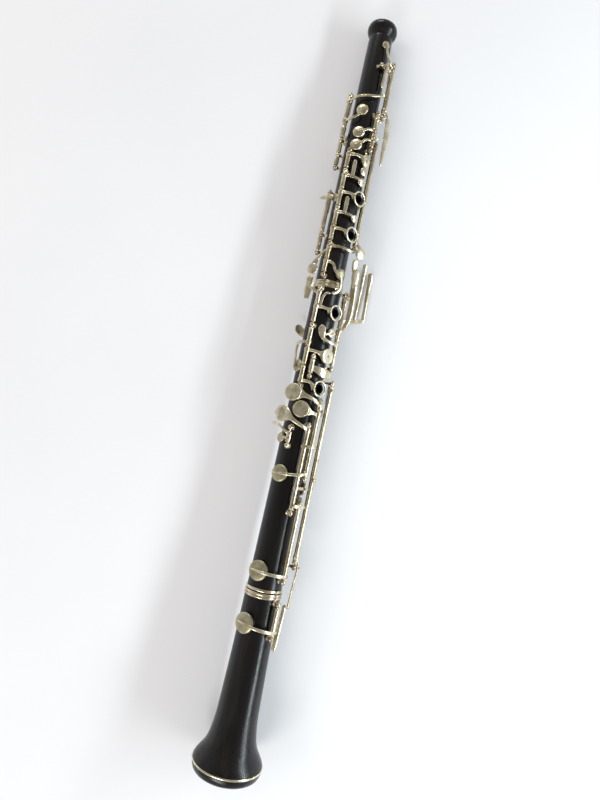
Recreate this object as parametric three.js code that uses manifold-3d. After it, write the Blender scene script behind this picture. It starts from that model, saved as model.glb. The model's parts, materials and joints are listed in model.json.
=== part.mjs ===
// Full-conservatoire oboe, lying on a table with its finger holes rolled toward +X.
// Millimetres, +Z up, crown toward +Y and bell toward -Y.
//
// Places on the instrument are given as (s, turn, r):
//   s     distance along the axis from the top of the crown,
//   turn  degrees around the axis from straight up, positive toward +X,
//   r     distance from the axis.
import * as THREE from 'three';
import { mergeVertices } from 'three/addons/utils/BufferGeometryUtils.js';
import Module from 'manifold-3d';

const wasm = await Module();
wasm.setup();

// ---------------------------------------------------------------- driving dimensions
const LENGTH = 590;            // crown top to bell rim
const UPPER_END = 220.5;       // shoulder of the upper joint
const LOWER_END = 457.8;       // shoulder of the lower joint
const JOINT_GAP = 0.35;        // between pieces that touch on the real instrument
const TENON_LENGTH = 17;
const UPPER_TENON_R = 6.7;
const LOWER_TENON_R = 9.3;
const CORK_THICKNESS = 0.9;
const REED_WELL_DEPTH = 22;
const REED_WELL_R = 4.5;
const LINER_WALL = 0.4;
const FRONT = 41;              // turn of the row of finger holes
const BELL_RING_S = 582.6;

const STEEL_R = 0.8;           // pivot rods
const TUBE_R = 1.65;           // hinge tubes
const TUBE_BORE_R = 1.12;
const BALL_R = 2.0;            // post heads
const STEM_R = 1.15;
const STRAP = 1.2;             // thickness of arms and levers

const WOOD_SIDES = 20;
const TUBE_SIDES = 8;
const CUP_SIDES = 12;
const RING_SIDES = 16;

// ---------------------------------------------------------------- materials
function finish(color, roughness, metalness) {
  return { color, roughness, metalness };
}
const GRENADILLA = finish(0x17130f, 0.38, 0);
const NICKEL_SILVER = finish(0xcfc7b2, 0.25, 1);
const STEEL = finish(0xb9b6ac, 0.3, 1);
const CORK = finish(0xa87a4b, 0.9, 0);

// ---------------------------------------------------------------- placing
const rad = THREE.MathUtils.degToRad;

function at(s, turn, r) {
  return new THREE.Vector3(r * Math.sin(rad(turn)), -s, r * Math.cos(rad(turn)));
}

function outward(turn) {
  return at(0, turn, 1);
}

// Outer radius of the wood at s, read from the profiles below.
function woodRadius(s) {
  const outline = s < UPPER_END ? UPPER_OUTLINE : s < LOWER_END ? LOWER_OUTLINE : BELL_OUTLINE;
  for (let i = 1; i < outline.length; i += 1) {
    const [s0, r0] = outline[i - 1];
    const [s1, r1] = outline[i];
    if (s >= s0 && s <= s1) return r0 + (r1 - r0) * (s - s0) / (s1 - s0);
  }
  return outline[outline.length - 1][1];
}

// ---------------------------------------------------------------- solids
function signedVolume(position, index) {
  const [a, b, c] = [new THREE.Vector3(), new THREE.Vector3(), new THREE.Vector3()];
  let total = 0;
  for (let i = 0; i < index.length; i += 3) {
    a.fromArray(position, 3 * index[i]);
    b.fromArray(position, 3 * index[i + 1]);
    c.fromArray(position, 3 * index[i + 2]);
    total += a.dot(b.cross(c));
  }
  return total;
}

function solid(geometry) {
  const bare = new THREE.BufferGeometry();
  bare.setAttribute('position', geometry.getAttribute('position').clone());
  if (geometry.index) bare.setIndex(geometry.index.clone());
  const merged = mergeVertices(bare, 1e-4);
  const position = merged.getAttribute('position').array;
  const index = [];
  for (let i = 0; i < merged.index.count; i += 3) {
    const [a, b, c] = [0, 1, 2].map((k) => merged.index.getX(i + k));
    if (a !== b && b !== c && a !== c) index.push(a, b, c);
  }
  if (signedVolume(position, index) < 0) index.reverse();
  const vertProperties = new Float32Array(position);
  const triVerts = new Uint32Array(index);
  return new wasm.Manifold(new wasm.Mesh({ numProp: 3, vertProperties, triVerts }));
}

function toGeometry(manifold) {
  const mesh = manifold.getMesh();
  const geometry = new THREE.BufferGeometry();
  geometry.setAttribute('position', new THREE.BufferAttribute(mesh.vertProperties, 3));
  geometry.setIndex(new THREE.BufferAttribute(mesh.triVerts, 1));
  return geometry;
}

function join(solids) {
  return solids.reduce((whole, piece) => whole.add(piece));
}

// A solid of revolution about the instrument's axis from [s, r] points.
function turned(points, sides = WOOD_SIDES) {
  return solid(new THREE.LatheGeometry(points.map(([s, r]) => new THREE.Vector2(r, -s)), sides));
}

function band(s0, s1, inner, outer) {
  return turned([[s0, inner], [s0, outer], [s1, outer], [s1, inner], [s0, inner]]);
}

// A cylinder parallel to the axis, from s0 to s1, centred on a hinge line.
function barrel(line, s0, s1, r, sides = TUBE_SIDES) {
  const geometry = new THREE.CylinderGeometry(r, r, s1 - s0, sides);
  const centre = at((s0 + s1) / 2, line.turn, line.r);
  return solid(geometry.translate(centre.x, centre.y, centre.z));
}

// A solid of revolution standing at a place; profile points are [radius, height].
// It stands outward, or toward the turn given as facing.
function standing(profile, s, turn, r, sides = CUP_SIDES, stretch = 1, facing = turn) {
  const geometry = new THREE.LatheGeometry(profile.map(([x, y]) => new THREE.Vector2(x, y)), sides);
  geometry.scale(1, 1, stretch);
  const up = outward(facing);
  const along = new THREE.Vector3(0, -1, 0);
  const basis = new THREE.Matrix4().makeBasis(new THREE.Vector3().crossVectors(up, along), up, along);
  basis.setPosition(at(s, turn, r));
  return solid(geometry.applyMatrix4(basis));
}

function ball(s, turn, r, size, sides = 6) {
  const centre = at(s, turn, r);
  const geometry = new THREE.SphereGeometry(size, sides, 4);
  return solid(geometry.translate(centre.x, centre.y, centre.z));
}

// A flat strap through [s, turn, r, width] stations.
// Its flat side faces away from the axis, or toward the turn given as facing.
function strap(stations, thickness = STRAP, facing = undefined) {
  const fine = [];
  for (let i = 0; i + 1 < stations.length; i += 1) {
    const steps = Math.max(1, Math.ceil(Math.abs(stations[i + 1][1] - stations[i][1]) / 14));
    for (let k = 0; k < steps; k += 1) {
      fine.push(stations[i].map((v, j) => v + (stations[i + 1][j] - v) * k / steps));
    }
  }
  fine.push(stations[stations.length - 1]);
  const places = fine.map(([s, turn, r]) => at(s, turn, r));
  const corners = [];
  fine.forEach(([, turn, , width], i) => {
    const before = places[Math.max(0, i - 1)];
    const after = places[Math.min(places.length - 1, i + 1)];
    const along = after.clone().sub(before).normalize();
    const side = new THREE.Vector3().crossVectors(outward(facing ?? turn), along).normalize();
    const up = new THREE.Vector3().crossVectors(along, side).normalize();
    for (const [a, b] of [[-1, -1], [1, -1], [1, 1], [-1, 1]]) {
      const corner = places[i].clone().addScaledVector(side, a * width / 2);
      corners.push(...corner.addScaledVector(up, b * thickness / 2).toArray());
    }
  });
  const index = [0, 1, 2, 0, 2, 3];
  for (let i = 0; i + 1 < fine.length; i += 1) {
    for (let k = 0; k < 4; k += 1) {
      const [a, b] = [4 * i + k, 4 * i + (k + 1) % 4];
      index.push(a, a + 4, b + 4, a, b + 4, b);
    }
  }
  const last = 4 * (fine.length - 1);
  index.push(last, last + 2, last + 1, last, last + 3, last + 2);
  const geometry = new THREE.BufferGeometry();
  geometry.setAttribute('position', new THREE.Float32BufferAttribute(corners, 3));
  geometry.setIndex(index);
  return solid(geometry);
}

// ---------------------------------------------------------------- key furniture
const CLOSED = 0.5;            // pad seat above the wood, key at rest with its hole shut
const OPEN = 1.9;              // the same for a key that stands open at rest

// A domed pad cup with its pad; size is the cup's radius.
function cup(s, turn, size, lift = CLOSED, dome = 0.9) {
  const base = woodRadius(s) + lift;
  const wall = 1.9;
  const profile = [[0, 0], [size - 0.4, 0], [size, wall - 0.3], [size * 0.6, wall + dome * 0.7],
    [0, wall + dome]];
  return standing(profile, s, turn, base);
}

// A finger ring, open in the middle.
function ring(s, turn, r, outer, inner) {
  const profile = [[inner, -0.65], [outer, -0.65], [outer - 0.3, 0.65], [inner + 0.2, 0.65], [inner, -0.65]];
  return standing(profile, s, turn, r, RING_SIDES);
}

// A flat touch plate; stretch lengthens it along the instrument.
function plate(s, turn, r, size, stretch = 1, thickness = 1.4, facing = turn) {
  const half = thickness / 2;
  const profile = [[0, -half], [size, -half], [size - 0.4, half], [0, half]];
  return standing(profile, s, turn, r, CUP_SIDES, stretch, facing);
}

// Posts with ball heads standing on the wood, joined by their steel pivot rod.
function postedRod(line, posts) {
  const first = posts[0];
  const last = posts[posts.length - 1];
  const pieces = [barrel(line, first - BALL_R - 0.5, last + BALL_R + 0.5, STEEL_R, 6)];
  for (const s of posts) {
    const foot = woodRadius(s) + JOINT_GAP;
    const height = line.r - foot;
    const profile = [[0, 0], [STEM_R + 0.6, 0], [STEM_R, 0.9], [STEM_R, height - 1.7], [BALL_R, height - 0.8],
      [BALL_R, height + 0.8], [1.1, height + 1.8], [0, height + 1.8]];
    pieces.push(standing(profile, s, line.turn, foot, 6));
  }
  return join(pieces);
}

// A key: hinge tube from s0 to s1 with its arms, cups, rings and touches, bored for the rod.
function keyOn(line, s0, s1, fittings, cuts = []) {
  const whole = join([barrel(line, s0, s1, TUBE_R), ...fittings]);
  const bore = barrel(line, s0 - 8, s1 + 8, TUBE_BORE_R);
  return cuts.reduce((body, cutter) => body.subtract(cutter), whole.subtract(bore));
}

// ---------------------------------------------------------------- the wooden body
// Outlines are [s, radius] pairs; each runs from crown to bell.
const UPPER_OUTLINE = [[0, 9.4], [1.2, 10.8], [3, 11.7], [5, 12], [7, 11.7], [9, 10.8], [10.8, 9.5],
  [12, 8.9], [13.4, 9.3], [17, 9.5], [60, 9.7], [120, 10.2], [219.2, 10.7], [219.2, 9.7], [UPPER_END, 9.7]];
const LOWER_OUTLINE = [[UPPER_END + JOINT_GAP, 9.6], [225.2, 9.6], [225.2, 10.8], [250, 10.9], [350, 11.7],
  [430, 12.5], [455.2, 13.1], [455.2, 12.1], [LOWER_END, 12.1]];
const BELL_OUTLINE = [[LOWER_END + JOINT_GAP, 12.1], [462.4, 12.1], [462.4, 13.5], [470, 13.6], [502, 14.1],
  [527, 14.8], [545, 15.4], [553, 15.9], [560, 16.8], [566, 18.0], [571, 19.8], [575, 22.2], [579, 24.6],
  [581.6, 25.7], [581.6, 24.6], [583.6, 24.6], [583.6, 25.7], [586, 25.4], [588.4, 24.4], [589.6, 22.8],
  [LENGTH, 22.3]];

// Tone holes as [s, turn, radius]; each is drilled from outside into the bore.
const UPPER_HOLES = [[22.2, 27, 1.0], [79.8, -14, 1.2], [98.6, -9.3, 2.4], [109.2, -9.3, 2.4], [121, 36, 1.6],
  [137.6, 42.3, 2.0], [151.7, FRONT, 2.4], [167.3, 43.6, 2.0], [180.9, FRONT, 2.8], [213.1, 32, 2.8]];
const LOWER_HOLES = [[243.8, FRONT, 3.2], [259.1, 50.5, 2.8], [277.8, FRONT, 3.2], [303.2, FRONT, 3.6],
  [288.5, -53, 3.2], [322, 102, 4], [370.7, -27, 4.5], [379, 104, 4], [442.7, -26, 5.2]];
const BELL_HOLES = [[480.9, -33, 5.2]];

function drilled(body, holes) {
  return holes.reduce((rest, [s, turn, r]) => {
    const drill = standing([[0, 1], [r, 1], [r, 18], [0, 18]], s, turn, 0, 8);
    return rest.subtract(drill);
  }, body);
}

function upperJoint() {
  const tenonEnd = UPPER_END + TENON_LENGTH;
  const corkFrom = UPPER_END + 4;
  const corkTo = tenonEnd - 2;
  const groove = UPPER_TENON_R - CORK_THICKNESS;
  const outside = [...UPPER_OUTLINE, [UPPER_END, UPPER_TENON_R], [corkFrom, UPPER_TENON_R],
    [corkFrom, groove], [corkTo, groove], [corkTo, UPPER_TENON_R], [tenonEnd, UPPER_TENON_R]];
  const inside = [[tenonEnd, 4.6], [REED_WELL_DEPTH, 2.3], [REED_WELL_DEPTH, REED_WELL_R], [1.4, REED_WELL_R],
    [0.5, 8.0]];
  return drilled(turned([...outside, ...inside, outside[0]]), UPPER_HOLES);
}

function lowerJoint() {
  const socketEnd = UPPER_END + TENON_LENGTH + 0.6;
  const tenonEnd = LOWER_END + TENON_LENGTH;
  const corkFrom = LOWER_END + 4;
  const corkTo = tenonEnd - 2;
  const groove = LOWER_TENON_R - CORK_THICKNESS;
  const outside = [...LOWER_OUTLINE, [LOWER_END, LOWER_TENON_R], [corkFrom, LOWER_TENON_R],
    [corkFrom, groove], [corkTo, groove], [corkTo, LOWER_TENON_R], [tenonEnd, LOWER_TENON_R]];
  const socket = UPPER_TENON_R + JOINT_GAP + 0.35;
  const inside = [[tenonEnd, 7.6], [socketEnd, 5.0], [socketEnd, socket], [UPPER_END + JOINT_GAP, socket]];
  return drilled(turned([...outside, ...inside, outside[0]]), LOWER_HOLES);
}

function bell() {
  const socketEnd = LOWER_END + TENON_LENGTH + 0.6;
  const socket = LOWER_TENON_R + JOINT_GAP + 0.35;
  const inside = [[LENGTH, 21.0], [584, 19.4], [572, 17.0], [552, 13.6], [520, 11.2], [socketEnd, 8.6],
    [socketEnd, socket], [LOWER_END + JOINT_GAP, socket]];
  return drilled(turned([...BELL_OUTLINE, ...inside, BELL_OUTLINE[0]]), BELL_HOLES);
}

function corkSleeve(shoulder, tenonR) {
  const inner = tenonR - CORK_THICKNESS + 0.3;
  return band(shoulder + 4.3, shoulder + TENON_LENGTH - 2.3, inner, tenonR + 0.4);
}

// A ferrule with rounded beads between s0 and s1.
function ferrule(s0, s1, inner, outer, beads) {
  const pitch = (s1 - s0) / beads;
  const outline = [[s0, inner], [s0, outer - 0.5]];
  for (let i = 0; i < beads; i += 1) {
    outline.push([s0 + pitch * (i + 0.5), outer], [s0 + pitch * (i + 1), outer - 0.5]);
  }
  return turned([...outline, [s1, inner], [s0, inner]]);
}

function reedWellLiner() {
  const outer = REED_WELL_R - 0.3;
  return band(1.6, REED_WELL_DEPTH - 0.4, outer - LINER_WALL, outer);
}

function bellRing() {
  return turned([[BELL_RING_S - 0.7, 24.95], [BELL_RING_S - 0.7, 25.9], [BELL_RING_S, 26.2],
    [BELL_RING_S + 0.7, 25.9], [BELL_RING_S + 0.7, 24.95], [BELL_RING_S - 0.7, 24.95]], WOOD_SIDES);
}

// The hook on the back that rests on the right thumb.
const THUMB_TURN = -135;
function thumbRest() {
  const base = woodRadius(258) + JOINT_GAP + 0.75;
  const foot = plate(258, THUMB_TURN, base + 0.3, 4.2, 2.2, 1.4);
  const hook = strap([[262, THUMB_TURN, base, 9], [261, -133, 14.4, 9], [259, -128, 17.2, 9],
    [256.6, -122, 19.6, 8.6], [255.4, -117, 20.6, 6.4]], 1.8);
  return join([foot, hook]);
}

// ---------------------------------------------------------------- hinge lines
const LINES = {
  sideOctave: { turn: 72, r: 15.0 },
  thumbOctave: { turn: -75, r: 14.8 },
  trill: { turn: 45, r: 14.0 },
  upperMain: { turn: -24, r: 14.3 },
  gSharp: { turn: 80, r: 13.8 },
  leftTrill: { turn: -66, r: 15.4 },
  lowerMain: { turn: -23, r: 15.0 },
  fKey: { turn: 0, r: 14.8 },
  sideF: { turn: -22, r: 15.2 },
  leftLevers: { turn: 75, r: 15.6 },
  link: { turn: 72, r: 19.2 },
  lowC: { turn: 47, r: 16.8 },
  cSharp: { turn: 27, r: 16.0 },
  lowB: { turn: 47, r: 17.0 },
  lowBFlat: { turn: 44.6, r: 17.5 },
};

// ---------------------------------------------------------------- keys of the upper joint
function sideOctaveKey() {
  return keyOn(LINES.sideOctave, 36.8, 77.2, [
    strap([[38.5, 72, 15, 2.6], [35.6, 52, 14.3, 2.4], [31, 35, 13.4, 2.2], [23.5, 28, 12.4, 2.2]]),
    cup(22.2, 27, 3.1, CLOSED, 0.7),
    strap([[73.5, 72, 15, 2.6], [77, 72, 18.2, 2.8], [80, 72, 19.4, 3.2]]),
    strap([[79, 72, 19.1, 3.2], [86, 71.5, 20.4, 4.2], [101, 68, 21.8, 4.8], [114, 65, 22, 3.8],
      [119.5, 64.4, 22, 2.4], [121, 64.3, 22, 1.2]], STRAP, 35),
  ]);
}

// The cross hinge of the octave link: its pin runs round the body at s 41.
const LINK_S = 41;
const LINK_TURN = 40;
const LINK_R = 12.7;
function crossBarrel(half, r, sides = TUBE_SIDES) {
  const geometry = new THREE.CylinderGeometry(r, r, 2 * half, sides);
  geometry.rotateZ(Math.PI / 2);
  geometry.rotateY(rad(LINK_TURN));
  const centre = at(LINK_S, LINK_TURN, LINK_R);
  return solid(geometry.translate(centre.x, centre.y, centre.z));
}

function octaveLinkPosts() {
  const reach = 4.3;
  const foot = Math.sqrt(woodRadius(LINK_S) ** 2 - reach ** 2) + JOINT_GAP + 0.3;
  const sideways = new THREE.Vector3(Math.cos(rad(LINK_TURN)), 0, -Math.sin(rad(LINK_TURN)));
  const pieces = [crossBarrel(reach + 1.2, STEEL_R, 6)];
  for (const side of [-1, 1]) {
    const stem = standing([[0, foot], [1.3, foot], [0.9, foot + 1], [0.9, LINK_R], [0, LINK_R]], LINK_S,
      LINK_TURN, 0, 8);
    const head = ball(LINK_S, LINK_TURN, LINK_R, 1.7, 8);
    const shift = sideways.clone().multiplyScalar(side * reach).toArray();
    pieces.push(stem.translate(shift), head.translate(shift));
  }
  return join(pieces);
}

function octaveLinkLever() {
  const lever = strap([[38.2, LINK_TURN, 13.4, 2.6], [41, LINK_TURN, 13.8, 3.4], [48, 40, 13.6, 3.4],
    [56, 41, 13.2, 3.6], [58.4, 41, 13.2, 2.4]], 1.1);
  return join([crossBarrel(2.1, 1.6), lever]).subtract(crossBarrel(3.2, TUBE_BORE_R));
}

function thumbOctaveKey() {
  return keyOn(LINES.thumbOctave, 68.8, 102.2, [
    strap([[71.5, -75, 14.8, 2.4], [69.6, -50, 13.6, 2.2], [68.5, 0, 12.9, 2.2], [66.8, 31, 13.2, 2.2],
      [63.4, 51, 14.0, 2.2]]),
    ball(63.1, 53, 14.1, 1.4, 8),
    strap([[87.6, -75, 14.8, 2.6], [87.8, -45, 13.8, 2.4], [86.2, -20, 13.4, 2.4], [80.5, -14, 13.2, 2.2]]),
    cup(79.8, -14, 4.6),
    strap([[95, -75, 14.8, 3], [96, -95, 14.4, 5], [97, -115, 14.2, 8.5], [97, -148, 13.9, 9],
      [97, -160, 13.9, 5]], 1.5),
  ]);
}

function trillKey(s0, s1, armS, padS) {
  return keyOn(LINES.trill, s0, s1, [
    strap([[armS, 45, 14, 2.4], [armS + 1, 30, 13.9, 2.2], [armS + 1, 18, 13.8, 2.2], [padS, -5, 13.4, 2.2]]),
    strap([[s0 + 3, 45, 14, 2.4], [s0 + 3, 56, 15.2, 2.6]]),
    cup(padS, -9.3, 4.7),
  ]);
}

// The half-hole plate, with its small vent and the spatula below it.
function halfHoleKey() {
  const vent = standing([[0, -3], [0.75, -3], [0.75, 3], [0, 3]], 119.7, 38, 14.4, 8);
  return keyOn(LINES.upperMain, 117.9, 130.1, [
    strap([[118.9, -24, 14.3, 2.8], [118.7, 0, 14.5, 2.4], [119.4, 22, 14.4, 3.2]]),
    plate(121, 36, 14.4, 3.9, 1.28),
    strap([[124, 36, 14.4, 3], [129, 36, 14.4, 3]]),
    plate(129.9, 36, 14.4, 3.1, 1.1),
  ], [vent]);
}

// A small cup on a straight arm, with the longitudinal leaf that the next key presses.
function leafAndCupKey(s0, s1, armS, leafTip, padTurn, size) {
  const leafTurn = 1;
  return keyOn(LINES.upperMain, s0, s1, [
    strap([[armS, -24, 14.3, 2.6], [armS, 0, 14.3, 2.4], [armS + 0.7, 25, 14.3, 2.2],
      [armS + 1.3, 38, 14.1, 2]]),
    strap([[armS, leafTurn, 14.5, 2.4], [armS - 5, leafTurn, 14.5, 3.1], [leafTip + 2.5, leafTurn, 14.5, 2.8],
      [leafTip, leafTurn, 14.5, 1.2]], 1.0),
    cup(armS + 1.3, padTurn, size, 1.2, 0.5),
  ]);
}

function ringKey(line, s0, s1, armS, ringS, ringTurn, outer, extras = []) {
  const r = line.r;
  return keyOn(line, s0, s1, [
    strap([[armS, line.turn, r, 2.7], [armS, 0, r + 0.1, 2.3], [armS + 0.3, ringTurn - 27, r, 2.5],
      [ringS - 0.6, ringTurn - 20, r - 0.1, 5]]),
    ring(ringS, ringTurn, r, outer, outer - 1.85),
    ...extras,
  ]);
}

function bFlatTrillKey() {
  return keyOn(LINES.upperMain, 193.2, 203.6, [
    strap([[194.4, -24, 14.3, 2.4], [193.2, 0, 14.4, 2.2], [193.6, 30, 14.9, 2.2], [194, 52, 15.7, 2.6]]),
    strap([[197, -24, 14.3, 2.4], [198, -33, 15.2, 2.4], [203, -43, 17, 2.4], [210, -50, 18.7, 2.6]]),
    plate(213.8, -51.4, 19, 4.2, 1.1, 1.6, -22),
  ]);
}

// Reaches over the middle joint so that the right hand can work a pad on the upper joint.
function bridgeKey() {
  return keyOn(LINES.upperMain, 204.4, 214.4, [
    strap([[206, -24, 14.3, 2.4], [206.6, 1, 14.5, 2.2], [211.8, 7, 14.6, 2.2], [214.4, 20, 14.8, 2.2],
      [215.2, 31, 14.9, 2.4], [218, 37, 14.9, 2.4], [223.7, 38.5, 15.1, 2.4], [227.2, 34, 15.2, 2.4],
      [229.6, 22, 15.2, 2.2], [230.2, 13, 15.2, 2.0]]),
    cup(213.3, 32, 4.0, 1.6, 0.6),
  ]);
}

function gSharpKey() {
  return keyOn(LINES.gSharp, 103.8, 187.2, [
    strap([[183, 80, 13.8, 2.6], [185.4, 79, 17.2, 2.6], [190, 74, 19.7, 3.4], [193, 72, 20, 4]]),
    plate(193.1, 71.7, 20, 4.2, 1.1, 1.5, 30),
    strap([[150, 80, 13.8, 2.6], [150, 98, 13.6, 2.4], [150, 112, 13.4, 2.2]]),
    cup(150, 116, 4.2),
  ]);
}

function leftTrillKey() {
  return keyOn(LINES.leftTrill, 152.2, 181.6, [
    strap([[154.3, -79, 21.2, 1.2], [154.1, -74, 19.4, 4], [153.8, -66, 17.0, 4.8], [153.6, -58, 15.4, 4.6],
      [153.4, -50, 13.6, 3.4]], 1.1),
    cup(153.3, -50, 3.3, CLOSED, 0.6),
  ]);
}

// ---------------------------------------------------------------- keys of the lower joint
function leafTouchKey() {
  return keyOn(LINES.lowerMain, 229.4, 239.8, [
    strap([[231.6, -23, 15, 2.4], [230.6, -35, 16.8, 2.4], [228, -46, 18.3, 3]]),
    strap([[218.9, -53.5, 18.6, 1.6], [220.6, -53.5, 18.6, 4.6], [225, -53.5, 18.6, 6], [232, -53.5, 18.6, 6],
      [236, -53.5, 18.6, 4.6], [237.6, -53.5, 18.6, 1.6]], 1.3, -24),
  ]);
}

function firstFingerLowerKey() {
  const lug = strap([[242.2, -16, 15.1, 2.2], [241, -11, 15.3, 2.0], [234, -10, 15.4, 1.9],
    [231.2, -3, 15.4, 1.9], [230.6, 9, 15.3, 1.9]]);
  return ringKey(LINES.lowerMain, 240.6, 254.2, 242.4, 243.8, FRONT, 6.2, [lug]);
}

function fResonanceKey() {
  return keyOn(LINES.lowerMain, 259.2, 273.4, [
    strap([[270.5, -23, 15, 2.4], [270.5, -45, 15.9, 2.4], [271, -57, 16, 2.6], [277, -63, 15.9, 2.6],
      [283, -58, 15.4, 2.4], [288.5, -53, 14.9, 2.2]]),
    cup(288.5, -53, 4.9, CLOSED, 1.1),
  ]);
}

function secondFingerLowerKey() {
  const vent = standing([[0, -3], [1.0, -3], [1.0, 3], [0, 3]], 279, 46, 15, 10);
  return keyOn(LINES.lowerMain, 274.2, 287.8, [
    strap([[276.3, -23, 15, 2.7], [276.3, 0, 15.1, 2.3], [276.8, 14, 15, 2.6], [277.4, 24, 15, 5]]),
    plate(277.8, 43.7, 15, 6.0),
  ], [vent]);
}

function fKey() {
  return keyOn(LINES.fKey, 282.9, 293.2, [
    strap([[288.8, 0, 14.8, 3], [289.4, 10, 15.6, 4.4], [290.4, 24, 16, 6.4], [291, 38, 16.2, 7],
      [291.4, 52, 16.4, 6.4], [291.7, 64, 16.6, 4], [291.8, 74, 16.8, 1.4]], 1.4),
  ]);
}

function trillLeafKey() {
  return keyOn(LINES.leftLevers, 265.2, 283.4, [
    strap([[268.4, 75, 15.6, 2.4], [268, 64, 17.2, 2.4], [267.6, 48, 16.6, 2.2], [266.4, 24, 15.5, 2.2],
      [265, 14, 15.3, 3.2], [261.5, 9, 15.3, 5.6], [258, 7.5, 15.3, 5.2], [255.6, 7, 15.3, 1.8]], 1.1),
    strap([[262.5, 12, 15.2, 1.8], [261, 30, 15, 1.8], [259, 46, 14.8, 1.8]], 1.1),
    cup(259.1, 49, 3.8, 1.3, 0.6),
  ]);
}

function leftEFlatLever() {
  return keyOn(LINES.leftLevers, 229.2, 240.2, [
    strap([[232.4, 75, 15.6, 2.4], [229.8, 74, 18.7, 2.4], [224, 71, 18.9, 2.4], [212, 68, 18.5, 2.4],
      [206.4, 64, 18.6, 3.4]]),
    strap([[207.4, 64.6, 18.6, 2.6], [204.4, 63.4, 18.7, 5], [202, 62.7, 18.8, 5.4], [199.4, 62.2, 18.8, 3.8],
      [198.4, 62, 18.8, 1.6]], STRAP, 28),
  ]);
}

// The open loop of the low B lever wraps round the side and reaches down to the table.
function lowBLever() {
  return keyOn(LINES.leftLevers, 241, 253.6, [
    strap([[247.4, 75, 15.6, 3], [245.4, 88, 21.6, 3.2], [242.4, 103, 29.5, 3.2], [239.8, 113.7, 36.2, 3.2]], 1.6),
    strap([[241, 113.7, 36, 3], [224, 114, 35.6, 3], [211, 114, 35.2, 3.4], [205.5, 113.5, 35, 5],
      [201.5, 113, 34.6, 4.6], [199.8, 113, 34.3, 2.4]], 1.4, 15),
    strap([[244.6, 97, 25.4, 2.4], [238, 94, 25.4, 2.4], [216, 92, 25.4, 2.4], [204, 87, 25.2, 3],
      [200.4, 84, 25, 3.4], [198.6, 83, 24.9, 1.8]], 1.4, 10),
  ]);
}

function lowBFlatLever() {
  return keyOn(LINES.leftLevers, 254.4, 264.4, [
    strap([[256.2, 75, 15.6, 2.6], [253.6, 71, 19.2, 2.8], [247, 67.5, 21.8, 3.8], [236, 65.5, 22.2, 4.2],
      [222, 63, 21.8, 4.0]], STRAP, 20),
    strap([[223, 63.2, 21.8, 3.8], [217.4, 61.5, 21.6, 5.2], [212.4, 60.8, 21.4, 6.4], [208, 60.6, 21.2, 5],
      [206.6, 60.6, 21.2, 2]], STRAP, 20),
  ]);
}

function thirdFingerLowerKey() {
  return ringKey(LINES.lowerMain, 288.6, 301.2, 299.9, 303.2, 40, 6.3);
}

// ---------------------------------------------------------------- right little-finger keys
function eFlatKey() {
  return keyOn(LINES.lowC, 315.8, 319.8, [
    strap([[317.4, 47, 16.8, 2.8], [314.8, 38, 17.9, 2.6], [312.6, 24, 18.4, 2.6], [311.4, 8, 18.7, 2.8],
      [310.6, -10, 18.8, 4]]),
    plate(310, -29.5, 19.1, 6.5, 1.02, 1.6, -20),
    strap([[318, 47, 16.8, 2.6], [318.6, 60, 16.4, 2.6], [320, 80, 15.9, 2.4], [321.8, 96, 15.2, 2.2]]),
    cup(322, 102, 5.4),
  ]);
}

function lowCKey() {
  return keyOn(LINES.lowC, 320.6, 369.2, [
    strap([[323, 47, 16.8, 2.8], [322.6, 30, 17.6, 2.8], [322, 12, 18, 4]]),
    plate(321.4, -3.4, 18, 6.2, 1.02, 1.6),
    strap([[367, 47, 16.8, 2.8], [368, 38, 18.9, 2.6], [369, 27, 19.4, 2.6], [369.8, 12, 18.6, 2.4],
      [370.5, -8, 17.4, 2.2], [370.8, -27, 16.8, 1.8], [370.9, -46, 16.1, 1.0]], 1.3),
    cup(370.7, -27, 6.4, OPEN, 1.0),
  ]);
}

function cSharpKey() {
  return keyOn(LINES.cSharp, 334.6, 395.4, [
    strap([[336, 27, 16, 2.8], [334.4, 15, 17.4, 2.8], [332.4, -3, 18.2, 2.8], [329.6, -20, 18.8, 3],
      [328, -34, 19.1, 4]]),
    plate(326.5, -46.7, 19.2, 6.2, 1.02, 1.6, -28),
    strap([[347.7, 16, 16.4, 2.2], [347.7, 27, 17.4, 2.2], [347.6, 38, 19.0, 2.2], [347.6, 47, 19.8, 2.2],
      [347.2, 55, 19.6, 2.2]]),
    strap([[379, 27, 16, 2.6], [379, 40, 15.8, 2.6], [379, 72, 15.7, 2.6], [379, 97, 15.7, 2.2]]),
    cup(379, 104, 5.6),
  ]);
}

function sideFKey() {
  return keyOn(LINES.sideF, 339.2, 347.2, [
    strap([[340.8, -22, 15.2, 2.4], [339.4, -34, 17, 2.4], [335.8, -48, 18.4, 2.4], [334.8, -68, 19.6, 2.4],
      [334.8, -78, 20.2, 1.4]]),
    strap([[344.2, -22, 15.2, 2.4], [344.3, -36, 15.5, 2.2], [344.4, -50, 15.4, 2]]),
    cup(344.5, -53, 3.8, 1.4, 0.7),
  ]);
}

// ---------------------------------------------------------------- keys at the bell joint
function lowBKey() {
  return keyOn(LINES.lowB, 389.9, 445.4, [
    strap([[392, 24, 19.9, 2.2], [392, 36, 19.9, 2.4], [392, 47, 19.2, 2.4], [392, 60, 19.2, 2.2]], 1.6),
    strap([[443.8, 58, 17.8, 2.6], [443.8, 47, 18, 2.8], [443.6, 30, 18.4, 2.6], [443.2, 5, 18.5, 2.4],
      [442.8, -15, 18.2, 2.2], [442.6, -28, 17.7, 1.8], [442.4, -48, 16.9, 1.0]], 1.3),
    cup(442.7, -27, 7.4, OPEN, 1.1),
  ]);
}

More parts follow.
